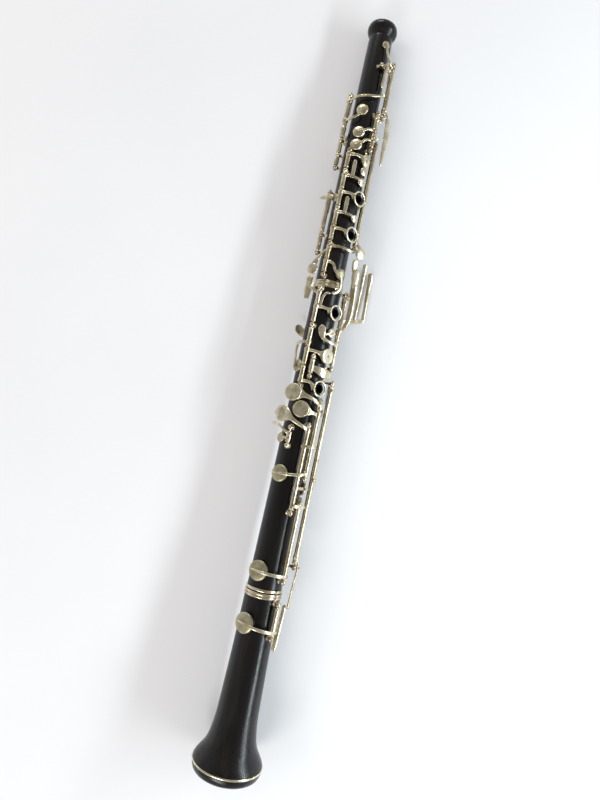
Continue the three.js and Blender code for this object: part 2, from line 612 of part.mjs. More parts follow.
function lowBFlatKey() {
  return keyOn(LINES.lowBFlat, 466.4, 486.4, [
    strap([[484.2, 57, 18.2, 2.6], [484.2, 44.6, 18.6, 2.8], [483.6, 25, 19.1, 2.6], [482.4, 0, 19.2, 2.4],
      [481.4, -20, 18.9, 2.2], [480.9, -33, 18.4, 1.8], [480.5, -52, 17.6, 1.0]], 1.3),
    cup(480.9, -33, 7.5, OPEN, 1.1),
    strap([[463.6, 61, 19.6, 2], [472, 61, 19.4, 2.8], [484.2, 60, 18.8, 3], [493, 60, 18.5, 3],
      [498.5, 61, 17.8, 2]], STRAP, 20),
  ]);
}

// Carries the left hand's push down the side of the lower joint to the key on the bell.
function lowBFlatLink() {
  return keyOn(LINES.link, 299.4, 434.0, [
    strap([[302, 66, 21.2, 2.4], [302, 72, 21.2, 2.6], [302, 79, 20.6, 2.4]], 1.8),
    strap([[371, 67, 20.8, 3.2], [371, 72, 21.2, 3.4], [371, 78, 20.8, 3.2]], 1.8),
    strap([[429, 72, 19.2, 2.4], [433.4, 72, 22, 2.4], [438, 72, 22.2, 2.6], [446, 68, 22.2, 2.6],
      [456, 63.5, 22.4, 2.6], [466, 62, 22.4, 2.6]]),
  ]);
}

// ---------------------------------------------------------------- assembly
const group = new THREE.Group();

function add(name, body, look, hinge) {
  const material = new THREE.MeshStandardMaterial(look);
  const mesh = new THREE.Mesh(toGeometry(body), material);
  mesh.name = name;
  if (hinge) mesh.userData.hinge = hinge;
  group.add(mesh);
}

function addKey(name, body, line) {
  add(name, body, NICKEL_SILVER, { point: at(0, line.turn, line.r).toArray(), axis: [0, 1, 0] });
}

add('upper_joint', upperJoint(), GRENADILLA);
add('lower_joint', lowerJoint(), GRENADILLA);
add('bell', bell(), GRENADILLA);
add('reed_well_liner', reedWellLiner(), NICKEL_SILVER);
add('upper_tenon_cork', corkSleeve(UPPER_END, UPPER_TENON_R), CORK);
add('lower_tenon_cork', corkSleeve(LOWER_END, LOWER_TENON_R), CORK);
add('upper_joint_ferrule', ferrule(219.5, 220.7, 10.05, 11.3, 1), NICKEL_SILVER);
add('lower_socket_ferrule', ferrule(221.2, 224.9, 9.95, 11.5, 2), NICKEL_SILVER);
add('lower_joint_ferrule', ferrule(455.5, 457.7, 12.45, 13.7, 1), NICKEL_SILVER);
add('bell_socket_ferrule', ferrule(458.3, 462.1, 12.45, 14.0, 2), NICKEL_SILVER);
add('bell_rim_ring', bellRing(), NICKEL_SILVER);
add('thumb_rest', thumbRest(), NICKEL_SILVER);

const RODS = [
  ['side_octave_rod', LINES.sideOctave, [34.4, 79.6]],
  ['thumb_octave_rod', LINES.thumbOctave, [66.4, 104.6, 117.0, 127.2]],
  ['trill_rod', LINES.trill, [80.4, 111.4]],
  ['upper_main_rod', LINES.upperMain, [115.5, 132.4, 191.0, 216.8]],
  ['g_sharp_rod', LINES.gSharp, [101.4, 189.6]],
  ['left_trill_rod', LINES.leftTrill, [149.8, 184.0, 198.4]],
  ['lower_main_rod', LINES.lowerMain, [227.0, 256.7, 303.6]],
  ['f_key_rod', LINES.fKey, [280.5, 295.6]],
  ['side_f_rod', LINES.sideF, [336.0, 349.6]],
  ['left_lever_rod', LINES.leftLevers, [226.8, 285.8]],
  ['link_rod', LINES.link, [297.0, 436.4]],
  ['low_c_rod', LINES.lowC, [312.6, 371.6]],
  ['c_sharp_rod', LINES.cSharp, [332.2, 397.8]],
  ['low_b_rod', LINES.lowB, [387.5, 447.8]],
  ['low_b_flat_rod', LINES.lowBFlat, [464.0, 488.8]],
];
for (const [name, line, posts] of RODS) add(name, postedRod(line, posts), STEEL);
add('octave_link_posts', octaveLinkPosts(), STEEL);

const linkAxis = [Math.cos(rad(LINK_TURN)), 0, -Math.sin(rad(LINK_TURN))];
add('octave_link_lever', octaveLinkLever(), NICKEL_SILVER,
  { point: at(LINK_S, LINK_TURN, LINK_R).toArray(), axis: linkAxis });
addKey('side_octave_key', sideOctaveKey(), LINES.sideOctave);
addKey('thumb_octave_key', thumbOctaveKey(), LINES.thumbOctave);
addKey('upper_trill_key', trillKey(82.8, 96.2, 94.6, 98.6), LINES.trill);
addKey('lower_trill_key', trillKey(97.0, 109.0, 103.2, 109.2), LINES.trill);
addKey('half_hole_key', halfHoleKey(), LINES.upperMain);
addKey('c_vent_key', leafAndCupKey(134.8, 147.4, 136.4, 123.2, 42.3, 3.4), LINES.upperMain);
const secondFingerUpper = ringKey(LINES.upperMain, 148.2, 161, 150, 151.7, FRONT, 6.1);
addKey('second_finger_upper_key', secondFingerUpper, LINES.upperMain);
addKey('a_vent_key', leafAndCupKey(161.8, 176.6, 166.2, 153.2, 43.6, 3.1), LINES.upperMain);
const thirdFingerUpper = ringKey(LINES.upperMain, 177.4, 188.6, 179.4, 180.9, FRONT, 6.2);
addKey('third_finger_upper_key', thirdFingerUpper, LINES.upperMain);
addKey('b_flat_trill_key', bFlatTrillKey(), LINES.upperMain);
addKey('bridge_key', bridgeKey(), LINES.upperMain);
addKey('g_sharp_key', gSharpKey(), LINES.gSharp);
addKey('left_trill_key', leftTrillKey(), LINES.leftTrill);
addKey('leaf_touch_key', leafTouchKey(), LINES.lowerMain);
addKey('first_finger_lower_key', firstFingerLowerKey(), LINES.lowerMain);
addKey('f_resonance_key', fResonanceKey(), LINES.lowerMain);
addKey('second_finger_lower_key', secondFingerLowerKey(), LINES.lowerMain);
addKey('third_finger_lower_key', thirdFingerLowerKey(), LINES.lowerMain);
addKey('f_key', fKey(), LINES.fKey);
addKey('trill_leaf_key', trillLeafKey(), LINES.leftLevers);
addKey('left_e_flat_lever', leftEFlatLever(), LINES.leftLevers);
addKey('low_b_lever', lowBLever(), LINES.leftLevers);
addKey('low_b_flat_lever', lowBFlatLever(), LINES.leftLevers);
addKey('e_flat_key', eFlatKey(), LINES.lowC);
addKey('low_c_key', lowCKey(), LINES.lowC);
addKey('c_sharp_key', cSharpKey(), LINES.cSharp);
addKey('side_f_key', sideFKey(), LINES.sideF);
addKey('low_b_key', lowBKey(), LINES.lowB);
addKey('low_b_flat_key', lowBFlatKey(), LINES.lowBFlat);
addKey('low_b_flat_link', lowBFlatLink(), LINES.link);

// The oboe rests on its bell rim and crown, so its axis slopes down to the crown.
const CROWN_REST = { s: 5, r: 12 };
const BELL_REST = { s: BELL_RING_S, r: 26.2 };
group.rotation.x = -Math.asin((BELL_REST.r - CROWN_REST.r) / (BELL_REST.s - CROWN_REST.s));

// The origin is the middle of the bottom of the whole oboe's box.
group.updateMatrixWorld(true);
const box = new THREE.Box3().setFromObject(group, true);
const middle = box.getCenter(new THREE.Vector3());
group.position.set(-middle.x, -middle.y, -box.min.z);

export default group;
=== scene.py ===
import json
import math

import bmesh
import bpy
from mathutils import Matrix, Vector

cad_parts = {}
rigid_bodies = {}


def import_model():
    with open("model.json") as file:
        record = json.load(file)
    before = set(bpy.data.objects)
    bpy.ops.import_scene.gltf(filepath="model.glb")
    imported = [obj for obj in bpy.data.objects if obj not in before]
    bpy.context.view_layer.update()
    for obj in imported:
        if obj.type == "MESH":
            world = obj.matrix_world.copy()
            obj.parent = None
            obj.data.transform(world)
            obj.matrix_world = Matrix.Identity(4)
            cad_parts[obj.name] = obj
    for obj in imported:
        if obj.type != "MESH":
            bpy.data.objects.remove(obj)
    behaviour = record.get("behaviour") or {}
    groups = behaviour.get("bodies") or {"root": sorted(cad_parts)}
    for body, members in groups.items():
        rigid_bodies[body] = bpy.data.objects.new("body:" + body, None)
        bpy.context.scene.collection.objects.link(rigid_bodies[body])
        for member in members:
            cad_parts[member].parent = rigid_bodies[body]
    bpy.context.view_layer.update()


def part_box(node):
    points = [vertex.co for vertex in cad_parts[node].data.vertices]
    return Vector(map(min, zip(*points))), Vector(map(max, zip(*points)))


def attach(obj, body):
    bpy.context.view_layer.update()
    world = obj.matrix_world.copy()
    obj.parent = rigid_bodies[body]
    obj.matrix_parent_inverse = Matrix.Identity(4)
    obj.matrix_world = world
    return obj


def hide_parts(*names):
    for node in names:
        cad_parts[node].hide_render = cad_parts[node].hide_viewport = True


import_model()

# ------------------------ driving dimensions, mm
MM = 0.001
LENGTH = 590
UPPER_END = 220.5
LOWER_END = 457.8
JOINT_GAP = 0.35
TENON_LENGTH = 17
UPPER_TENON_R = 6.7
LOWER_TENON_R = 9.3
REED_WELL_DEPTH = 22
REED_WELL_R = 4.5
# The turn of the open finger holes.
FRONT = 41
BELL_RING_S = 582.6
BELL_RING_R = 26.2
CROWN_REST_S = 5
CROWN_REST_R = 12
CROWN_TOP_R = 9.4

ROD_R = 0.8
TUBE_R = 1.8
TUBE_BORE_R = 1.0
POST_R = 2.0
STEM_R = 1.1
ARM = 1.3
RING_WIDTH = 1.4
PAD_DEPTH = 0.42
# How far a cup's edge stands off the wood, for a key that rests closed or open.
CLOSED = 0.5
OPEN = 1.9

WOOD_SIDES = 96
TUBE_SIDES = 20
CUP_SIDES = 36
CORK_SIDES = 64
RING_SIDES = 48
POST_SIDES = 20
SCREW_SIDES = 16
SECTION_SIDES = 14
CURVE_STEPS = 6
LONGEST_STEP = 3.2
CREASE = 38
WOOD_CREASE = 32

# ------------------------ outlines of the wood, (s, r)
UPPER_SOCKET_END = 238.1
LOWER_SOCKET_END = 475.4
UPPER_RUNS = [
    [(0, 8.2), (0.3, 9.3), (1.3, 10.9), (3, 11.7), (5, 12), (7, 11.7), (9, 10.75), (10.7, 9.6),
     (12, 9)],
    [(12, 9), (12.25, 9.3), (13.4, 9.3), (17, 9.5), (60, 9.7), (120, 10.2), (218.9, 10.7)],
    [(219.2, 10.45), (219.2, 9.7)],
    [(UPPER_END, 9.7), (UPPER_END, UPPER_TENON_R)],
]
LOWER_RUNS = [
    [(UPPER_END + JOINT_GAP, 9.6), (225.2, 9.6)],
    [(225.2, 10.55), (225.5, 10.8), (250, 10.9), (350, 11.7), (430, 12.5), (454.9, 13.1)],
    [(455.2, 12.8), (455.2, 12.1)],
    [(LOWER_END, 12.1), (LOWER_END, LOWER_TENON_R)],
]
BELL_RUNS = [
    [(LOWER_END + JOINT_GAP, 12.1), (462.4, 12.1)],
    [(462.4, 13.2), (462.7, 13.5), (470, 13.6), (502, 14.1), (527, 14.8), (545, 15.4), (553, 15.9),
     (560, 16.8), (566, 18), (571, 19.8), (575, 22.2), (578.6, 24.5), (580.6, 25.45), (581.3, 25.7)],
    [(581.6, 25.5), (581.6, 24.6)],
    [(583.6, 24.6), (583.6, 25.6)],
    [(583.9, 25.75), (586, 25.4), (588.2, 24.5), (589.5, 23.1), (589.9, 22.2), (590, 21.2)],
]
UPPER_INSIDE = [
    (UPPER_END + TENON_LENGTH, UPPER_TENON_R), (UPPER_END + TENON_LENGTH, 4.6), (REED_WELL_DEPTH, 2.3),
    (REED_WELL_DEPTH, REED_WELL_R), (1.5, REED_WELL_R), (0.6, 7.4),
]
LOWER_INSIDE = [
    (LOWER_END + TENON_LENGTH, LOWER_TENON_R), (LOWER_END + TENON_LENGTH, 7.6), (UPPER_SOCKET_END, 5),
    (UPPER_SOCKET_END, 7.4), (UPPER_END + JOINT_GAP, 7.4),
]
BELL_INSIDE = [
    (LENGTH - 0.2, 20.6), (584, 19.3), (572, 17), (552, 13.6), (520, 11.2), (LOWER_SOCKET_END, 8.6),
    (LOWER_SOCKET_END, 10), (LOWER_END + JOINT_GAP, 10),
]
# Tone holes are (s, turn, radius).
UPPER_HOLES = [
    (22.2, 27, 1), (79.8, -14, 1.2), (98.6, -9.3, 2.4), (109.2, -9.3, 2.4), (121, 36, 1.6),
    (137.6, 42.3, 2), (151.7, FRONT, 2.4), (167.3, 43.6, 2), (180.9, FRONT, 2.8), (213.1, 32, 2.8),
]
LOWER_HOLES = [
    (243.8, FRONT, 3.2), (259.1, 50.5, 2.8), (277.8, FRONT, 3.2), (303.2, FRONT, 3.6), (288.5, -53, 3.2),
    (322, 102, 4), (370.7, -27, 4.5), (379, 104, 4), (442.7, -26, 5.2),
]
BELL_HOLES = [(480.9, -33, 5.2)]

# ------------------------ hinge lines and posts
# The turn and the r of each line that keys turn on.
LINES = {
    "side_octave": (72, 15), "thumb_octave": (-75, 14.8), "trill": (45, 14), "upper_main": (-24, 14.3),
    "g_sharp": (80, 13.8), "left_trill": (-66, 15.4), "lower_main": (-23, 15), "f_key": (0, 14.8),
    "side_f": (-22, 15.2), "left_lever": (75, 15.6), "link": (72, 19.2), "low_c": (47, 16.8),
    "c_sharp": (27, 16), "low_b": (47, 17), "low_b_flat": (44.6, 17.5),
}
# The s of each post along a line.
POSTS = {
    "side_octave": [34.4, 79.6], "thumb_octave": [66.4, 104.6, 117, 127.2], "trill": [80.4, 111.4],
    "upper_main": [115.5, 132.4, 191, 216.8], "g_sharp": [101.4, 189.6],
    "left_trill": [149.8, 184, 198.4], "lower_main": [227, 256.7, 303.6], "f_key": [280.5, 295.6],
    "side_f": [336, 349.6], "left_lever": [226.8, 285.8], "link": [297, 436.4],
    "low_c": [312.6, 371.6], "c_sharp": [332.2, 397.8], "low_b": [387.5, 447.8],
    "low_b_flat": [464, 488.8],
}
# Stretches of rod covered by a sleeve that carries no key.
SLEEVES = {"thumb_octave": [(106.9, 114.7), (119.3, 124.9)], "left_trill": [(186.3, 196.1)]}

LINK_S = 41
LINK_TURN = 40
LINK_R = 12.7
LINK_HALF = 4.3

THUMB_S = 258
THUMB_TURN = -135

# ------------------------ camera, sky and lights
# The camera's place is in the instrument's millimetres, its angles in degrees.
CAMERA_PLACE = (-3.1, -355.3, 459.8)
CAMERA_PITCH = 5.204
CAMERA_ROLL = 12.055
CAMERA_LENS = 27
# Sky colours from straight down (0) to straight up (1).
SKY = [
    (0.0, (0.6, 0.6, 0.62)), (0.52, (0.60, 0.62, 0.68)), (0.68, (0.58, 0.58, 0.60)),
    (0.82, (0.42, 0.41, 0.38)), (1.0, (0.27, 0.26, 0.235)),
]
# A light's name, place, aim and size in metres, watts, colour, and whether it is mirrored.
LIGHTS = [
    ("window", (-1.1, 0.1, 0.8), (0, 0, 0), (1.3, 0.5), 5.5, (1.0, 0.975, 0.95), False),
    ("far_glow", (-0.34, 1.05, 0.42), (0, -0.2, 0), (0.42, 0.14), 2.2, (1.0, 0.98, 0.95), True),
    ("side_glow", (0.62, -0.15, 0.34), (0, -0.15, 0), (1.0, 0.07), 5.5, (0.84, 0.95, 1.0), True),
    ("front_glow", (-0.3, -1.0, 0.8), (0, 0, 0), (0.6, 0.25), 5, (1.0, 0.98, 0.95), True),
]

FLOOR_HALF = 3.0
FLOOR_DROP = 0.0003

# ------------------------ the frame
SLOPE = -math.asin((BELL_RING_R - CROWN_REST_R) / (BELL_RING_S - CROWN_REST_S))


def laid_down():
    """The matrix that lays the instrument, in millimetres along -Y, on the floor in the frame."""
    ring_low, ring_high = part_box("bell_rim_ring")
    crown_low, crown_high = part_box("upper_joint")
    tilt = Matrix.Rotation(SLOPE, 4, "X")
    lip = tilt @ Vector((0, 0, CROWN_TOP_R))
    rest = tilt @ Vector((0, -CROWN_REST_S, -CROWN_REST_R))
    middle = (ring_low.x + ring_high.x) / 2
    shift = Vector((middle, crown_high.y - lip.y * MM, crown_low.z - rest.z * MM))
    return Matrix.Translation(shift) @ tilt @ Matrix.Scale(MM, 4)


TO_WORLD = laid_down()


def outward(turn):
    """The direction away from the axis at a turn."""
    angle = math.radians(turn)
    return Vector((math.sin(angle), 0, math.cos(angle)))


def at(s, turn, r):
    """A place of the instrument as a point in millimetres."""
    return outward(turn) * r + Vector((0, -s, 0))


# ------------------------ the camera and the light
def shown(name, data):
    """A new object in the scene."""
    made = bpy.data.objects.new(name, data)
    bpy.context.scene.collection.objects.link(made)
    return made


def add_camera():
    data = bpy.data.cameras.new("camera")
    data.lens = CAMERA_LENS
    data.clip_start = 0.01
    camera = shown("camera", data)
    turn = Matrix.Rotation(SLOPE + math.radians(CAMERA_PITCH), 4, "X")
    roll = Matrix.Rotation(math.radians(CAMERA_ROLL), 4, "Z")
    camera.matrix_world = Matrix.Translation(TO_WORLD @ Vector(CAMERA_PLACE)) @ turn @ roll
    bpy.context.scene.camera = camera


def add_area_light(name, place, aim, size, power, color, mirrored):
    data = bpy.data.lights.new(name, "AREA")
    data.shape = "RECTANGLE"
    data.size, data.size_y = size
    data.energy = power
    data.color = color
    light = shown(name, data)
    light.visible_glossy = mirrored
    place = Vector(place)
    facing = (Vector(aim) - place).to_track_quat("-Z", "Y")
    light.matrix_world = Matrix.Translation(place) @ facing.to_matrix().to_4x4()


def color_ramp(tree, source, stops):
    """Colours along a source, from (place, colour) stops."""
    ramp = tree.nodes.new("ShaderNodeValToRGB")
    elements = ramp.color_ramp.elements
    while len(elements) < len(stops):
        elements.new(0.5)
    for element, (place, color) in zip(elements, stops):
        element.position = place
        element.color = (*color, 1)
    tree.links.new(source, ramp.inputs["Fac"])
    return ramp.outputs["Color"]


def add_sky():
    """A room that is bright around the table and dim overhead."""
    world = bpy.data.worlds.new("studio")
    world.use_nodes = True
    tree = world.node_tree
    direction = tree.nodes.new("ShaderNodeTexCoord").outputs["Generated"]
    height = tree.nodes.new("ShaderNodeSeparateXYZ")
    tree.links.new(direction, height.inputs[0])
    share = tree.nodes.new("ShaderNodeMapRange")
    share.inputs["From Min"].default_value = -1
    tree.links.new(height.outputs["Z"], share.inputs["Value"])
    color = color_ramp(tree, share.outputs["Result"], SKY)
    tree.links.new(color, tree.nodes["Background"].inputs["Color"])
    bpy.context.scene.world = world
    bpy.context.scene.view_settings.view_transform = "Standard"


def add_lights():
    add_sky()
    for light in LIGHTS:
        add_area_light(*light)


# ------------------------ materials
# The colour sockets of a Mix node.
MIX_FACTOR = 0
MIX_FIRST = 6
MIX_SECOND = 7
MIX_RESULT = 2
EVEN = (1, 1, 1)


class Shader:
    """A small builder for one Principled material's node tree."""

    def __init__(self, name):
        self.material = bpy.data.materials.new(name)
        self.material.use_nodes = True
        self.tree = self.material.node_tree
        self.surface = self.tree.nodes["Principled BSDF"]
        self.coordinates = self.node("ShaderNodeTexCoord").outputs["Object"]

    def node(self, kind, **values):
        """A node; values that start with in_ are for its input sockets."""
        made = self.tree.nodes.new(kind)
        for key, value in values.items():
            if key.startswith("in_"):
                made.inputs[key[3:].replace("_", " ")].default_value = value
            else:
                setattr(made, key, value)
        return made

    def link(self, source, target):
        self.tree.links.new(source, target)

    def noise(self, scale, stretch, detail):
        mapping = self.node("ShaderNodeMapping", in_Scale=stretch)
        self.link(self.coordinates, mapping.inputs["Vector"])
        noise = self.node("ShaderNodeTexNoise", in_Scale=scale, in_Detail=detail)
        self.link(mapping.outputs["Vector"], noise.inputs["Vector"])
        return noise.outputs["Fac"]

    def ramp(self, source, stops):
        return color_ramp(self.tree, source, stops)

    def spread(self, source, low, high, start=0.3, stop=0.7):
        """The source's stretch from start to stop, carried to low and high."""
        scale = self.node("ShaderNodeMapRange", in_From_Min=start, in_From_Max=stop,
                          in_To_Min=low, in_To_Max=high)
        self.link(source, scale.inputs["Value"])
        return scale.outputs["Result"]

    def mix(self, factor, first, second):
        mix = self.node("ShaderNodeMix", data_type="RGBA")
        self.link(factor, mix.inputs[MIX_FACTOR])
        self.link(first, mix.inputs[MIX_FIRST])
        self.link(second, mix.inputs[MIX_SECOND])
        return mix.outputs[MIX_RESULT]

    def bump(self, layers, distance):
        """Layers are (height, strength), laid one on the other."""
        normal = None
        for height, strength in layers:
            bump = self.node("ShaderNodeBump", in_Strength=strength, in_Distance=distance)
            self.link(height, bump.inputs["Height"])
            if normal:
                self.link(normal, bump.inputs["Normal"])
            normal = bump.outputs["Normal"]
        self.feed(normal, "Normal")

    def feed(self, source, socket):
        self.link(source, self.surface.inputs[socket])

    def set(self, **values):
        for key, value in values.items():
            self.surface.inputs[key.replace("_", " ")].default_value = value


def grenadilla():
    """Oiled black wood with a fine grain along the bore and a faint brown figure."""
    shader = Shader("grenadilla")
    grain = shader.noise(900, (1, 0.045, 1), 5)
    figure = shader.noise(140, (1, 0.08, 1), 3)
    pores = shader.noise(2600, (1, 0.03, 1), 2)
    dark = shader.ramp(grain, [(0.3, (0.0016, 0.0015, 0.0017)), (0.62, (0.0050, 0.0043, 0.0042))])
    warm = shader.ramp(grain, [(0.3, (0.0040, 0.0028, 0.0022)), (0.66, (0.0150, 0.0085, 0.0058))])
    share = shader.spread(figure, 0.0, 0.8, 0.46, 0.7)
    shader.feed(shader.mix(share, dark, warm), "Base Color")
    shader.feed(shader.spread(figure, 0.21, 0.33), "Roughness")
    shader.bump([(pores, 0.12), (grain, 0.08), (figure, 0.04)], 0.0004)
    shader.set(Specular_IOR_Level=0.36)
    return shader.material


def metal(name, bright, worn, rough, tarnish, patch=170):
    """Bright plated metal with cloudy patches of tarnish, fine handling marks and soft dents."""
    shader = Shader(name)
    cloud = shader.noise(patch, (1, 0.6, 1), 4)
    marks = shader.noise(1500, (1, 0.25, 1), 3)
    dents = shader.noise(420, EVEN, 2)
    amount = shader.spread(cloud, 0.0, tarnish, 0.38, 0.66)
    clean = shader.ramp(marks, [(0.3, tuple(0.9 * c for c in bright)), (0.7, bright)])
    dull = shader.ramp(marks, [(0.3, tuple(0.7 * c for c in worn)), (0.7, worn)])
    shader.feed(shader.mix(amount, clean, dull), "Base Color")
    shader.feed(shader.spread(cloud, rough * 0.75, rough * 1.5), "Roughness")
    shader.bump([(marks, 0.05), (dents, 0.12)], 0.0003)
    shader.set(Metallic=1.0)
    return shader.material


def cork():
    shader = Shader("cork")
    grains = shader.noise(1100, EVEN, 4)
    pits = shader.noise(2600, EVEN, 2)
    color = shader.ramp(grains, [(0.35, (0.22, 0.12, 0.06)), (0.6, (0.52, 0.34, 0.19))])
    shader.feed(color, "Base Color")
    shader.feed(shader.spread(grains, 0.7, 0.95), "Roughness")
    shader.bump([(pits, 0.5)], 0.0003)
    return shader.material


def pad_skin():
    shader = Shader("pad_skin")
    folds = shader.noise(1400, EVEN, 3)
    blush = shader.noise(300, EVEN, 2)
    color = shader.ramp(blush, [(0.35, (0.55, 0.42, 0.26)), (0.65, (0.74, 0.63, 0.45))])
    shader.feed(color, "Base Color")
    shader.feed(shader.spread(folds, 0.42, 0.6), "Roughness")
    shader.bump([(folds, 0.25)], 0.0002)
    return shader.material


def blued_steel():
    shader = Shader("blued_steel")
    heat = shader.noise(500, (1, 0.1, 1), 2)
    color = shader.ramp(heat, [(0.3, (0.05, 0.07, 0.14)), (0.7, (0.13, 0.14, 0.2))])
    shader.feed(color, "Base Color")
    shader.feed(shader.spread(heat, 0.25, 0.4), "Roughness")
    shader.set(Metallic=1.0)
    return shader.material


def table_cloth():
    shader = Shader("pale_table")
    cloud = shader.noise(6, EVEN, 3)
    weave = shader.noise(700, EVEN, 2)
    color = shader.ramp(cloud, [(0.3, (0.78, 0.78, 0.805)), (0.7, (0.81, 0.81, 0.83))])
    shader.feed(color, "Base Color")
    shader.feed(shader.spread(weave, 0.75, 0.9), "Roughness")
    shader.bump([(weave, 0.05)], 0.0003)
    shader.set(Specular_IOR_Level=0.2, Emission_Color=(0.95, 0.96, 1.0, 1), Emission_Strength=0.08)
    return shader.material


LOOKS = {
    "wood": grenadilla(),
    "metal": metal("aged_nickel_silver", (0.86, 0.77, 0.58), (0.42, 0.32, 0.17), 0.2, 0.8),
    "cup": metal("satin_cup_silver", (0.60, 0.55, 0.38), (0.34, 0.30, 0.16), 0.34, 0.8, 240),
    "touch": metal("worn_touch_silver", (0.95, 0.88, 0.70), (0.52, 0.44, 0.24), 0.24, 0.85, 280),
    "steel": metal("post_and_rod_steel", (0.80, 0.70, 0.52), (0.30, 0.23, 0.13), 0.2, 0.85),
    "screw": metal("screw_steel", (0.50, 0.46, 0.40), (0.22, 0.18, 0.12), 0.3, 0.8),
    "cork": cork(),
    "pad": pad_skin(),
    "spring": blued_steel(),
}


# ------------------------ mesh building
def world_mesh(name, bm):
    """Turns a mesh in instrument millimetres into one in the frame."""
    bmesh.ops.recalc_face_normals(bm, faces=bm.faces)
    bm.transform(TO_WORLD)
    mesh = bpy.data.meshes.new(name)
    bm.to_mesh(mesh)
    bm.free()
    return mesh


def add_piece(name, bm, body, look, replaces=(), crease=CREASE):
    """A shown piece that rides on a body."""
    mesh = world_mesh(name, bm)
    mesh.shade_smooth()
    mesh.set_sharp_from_angle(angle=math.radians(crease))
    mesh.materials.append(LOOKS[look])
    piece = shown(name, mesh)
    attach(piece, body)
    if replaces:
        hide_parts(*replaces)
    return piece


def skin(bm, rings, closed=False):
    """Faces between rings of vertices; a ring of one vertex is a pole."""
    pairs = list(zip(rings, rings[1:]))
    if closed:
        pairs.append((rings[-1], rings[0]))
    for lower, upper in pairs:
        count = max(len(lower), len(upper))
        for i in range(count):
            j = (i + 1) % count
            corners = [lower[i % len(lower)], lower[j % len(lower)],
                       upper[j % len(upper)], upper[i % len(upper)]]
            unique = [v for k, v in enumerate(corners) if v not in corners[:k]]
            if len(unique) > 2:
                bm.faces.new(unique)


def lathe(bm, profile, place, sides, closed=False, stretch=1.0):
    """A solid of revolution about the local Z of place; profile points are (radius, height)."""
    rings = []
    for radius, height in profile:
        if radius < 1e-6:
            rings.append([bm.verts.new(place @ Vector((0, 0, height)))])
            continue
        ring = []
        for i in range(sides):
            angle = 2 * math.pi * i / sides
            local = Vector((stretch * radius * math.cos(angle), radius * math.sin(angle), height))
            ring.append(bm.verts.new(place @ local))
        rings.append(ring)
    skin(bm, rings, closed)


AXIS = Matrix.Rotation(math.pi / 2, 4, "X")


def along_line(turn, r):
    """Local Z runs from crown to bell on a line parallel to the axis, so heights are values of s."""
    return Matrix.Translation(outward(turn) * r) @ AXIS


def standing(s, turn, r, facing=None):
    """Local X points toward the bell, and local Z outward or toward the turn given as facing."""
    up = outward(turn if facing is None else facing)
    forward = Vector((0, -1, 0))
    basis = Matrix((forward, up.cross(forward), up)).transposed().to_4x4()
    return Matrix.Translation(at(s, turn, r)) @ basis


def curve_through(points):
    """A smooth curve through the points, by Catmull and Rom's rule."""
    out = []
    for i in range(len(points) - 1):
        before = points[max(i - 1, 0)]
        first, second = points[i], points[i + 1]
        after = points[min(i + 2, len(points) - 1)]
        for k in range(CURVE_STEPS):
            t = k / CURVE_STEPS
            out.append(tuple(
                0.5 * (2 * b + (c - a) * t + (2 * a - 5 * b + 4 * c - d) * t * t
                       + (3 * b - a - 3 * c + d) * t ** 3)
                for a, b, c, d in zip(before, first, second, after)))
    out.append(tuple(points[-1]))
    return out


def corner_cut(points):
    """Rounds the corners of a path by two rounds of cutting, and keeps its ends."""
    for _ in range(2):
        cut = [points[0]]
        for first, second in zip(points, points[1:]):
            cut.append(tuple(0.75 * a + 0.25 * b for a, b in zip(first, second)))
            cut.append(tuple(0.25 * a + 0.75 * b for a, b in zip(first, second)))
        cut.append(points[-1])
        points = cut
    return points


def section(width, thickness):
    """An arm's cross-section: rounded sides, a crowned top and a flatter underside."""
    points = []
    for i in range(SECTION_SIDES):
        angle = 2 * math.pi * i / SECTION_SIDES
        x, y = math.cos(angle), math.sin(angle)
        flatness = 0.85 if y > 0 else 0.5
        across = math.copysign(abs(x) ** 0.62, x) * width / 2
        points.append((across, math.copysign(abs(y) ** flatness, y) * thickness / 2))
    return points


def strap(bm, stations, thickness=ARM, trim=0.0, round_start=False, round_end=True, facing=None):
    """A crowned bar through (s, turn, r, width) stations, starting at the distance trim along them.

    Its crowned side faces away from the axis, or toward the turn given as facing."""
    path = corner_cut([tuple(station) for station in stations])
    places = [at(s, turn, r) for s, turn, r, _ in path]
    reach = [0.0]
    for first, second in zip(places, places[1:]):
        reach.append(reach[-1] + (second - first).length)
    total = reach[-1]
    tip = min(path[-1][3] / 2, total / 3)
    root = min(path[0][3] / 2, total / 3)
    count = max(6, round((total - trim) / 1.1))
    marks = [trim + (total - trim) * i / count for i in range(count + 1)]
    for part in (0.05, 0.18, 0.4, 0.7):
        if round_end:
            marks.append(total - tip * part)
        if round_start:
            marks.append(trim + root * part)
    rings = []
    k = 0
    for mark in sorted(marks):
        while k < len(reach) - 2 and reach[k + 1] < mark:
            k += 1
        share = (mark - reach[k]) / max(reach[k + 1] - reach[k], 1e-9)
        _, turn, _, width = (a + (b - a) * share for a, b in zip(path[k], path[k + 1]))
        centre = places[k].lerp(places[k + 1], share)
        ahead = places[min(k + 2, len(places) - 1)] - places[max(k - 1, 0)]
        forward = ahead.normalized()
        side = outward(turn if facing is None else facing).cross(forward).normalized()
        up = forward.cross(side).normalized()
        rounding = 1.0
        if round_end and total - mark < tip:
            rounding = math.sqrt(max(0.03, 1 - (1 - (total - mark) / tip) ** 2))
        if round_start and mark - trim < root:
            rounding = math.sqrt(max(0.03, 1 - (1 - (mark - trim) / root) ** 2))
        depth = thickness * (0.45 + 0.55 * rounding)
        outline = section(width * rounding, depth)
        rings.append([bm.verts.new(centre + side * a + up * b) for a, b in outline])
    skin(bm, rings)
    bm.faces.new(rings[0])
    bm.faces.new(list(reversed(rings[-1])))


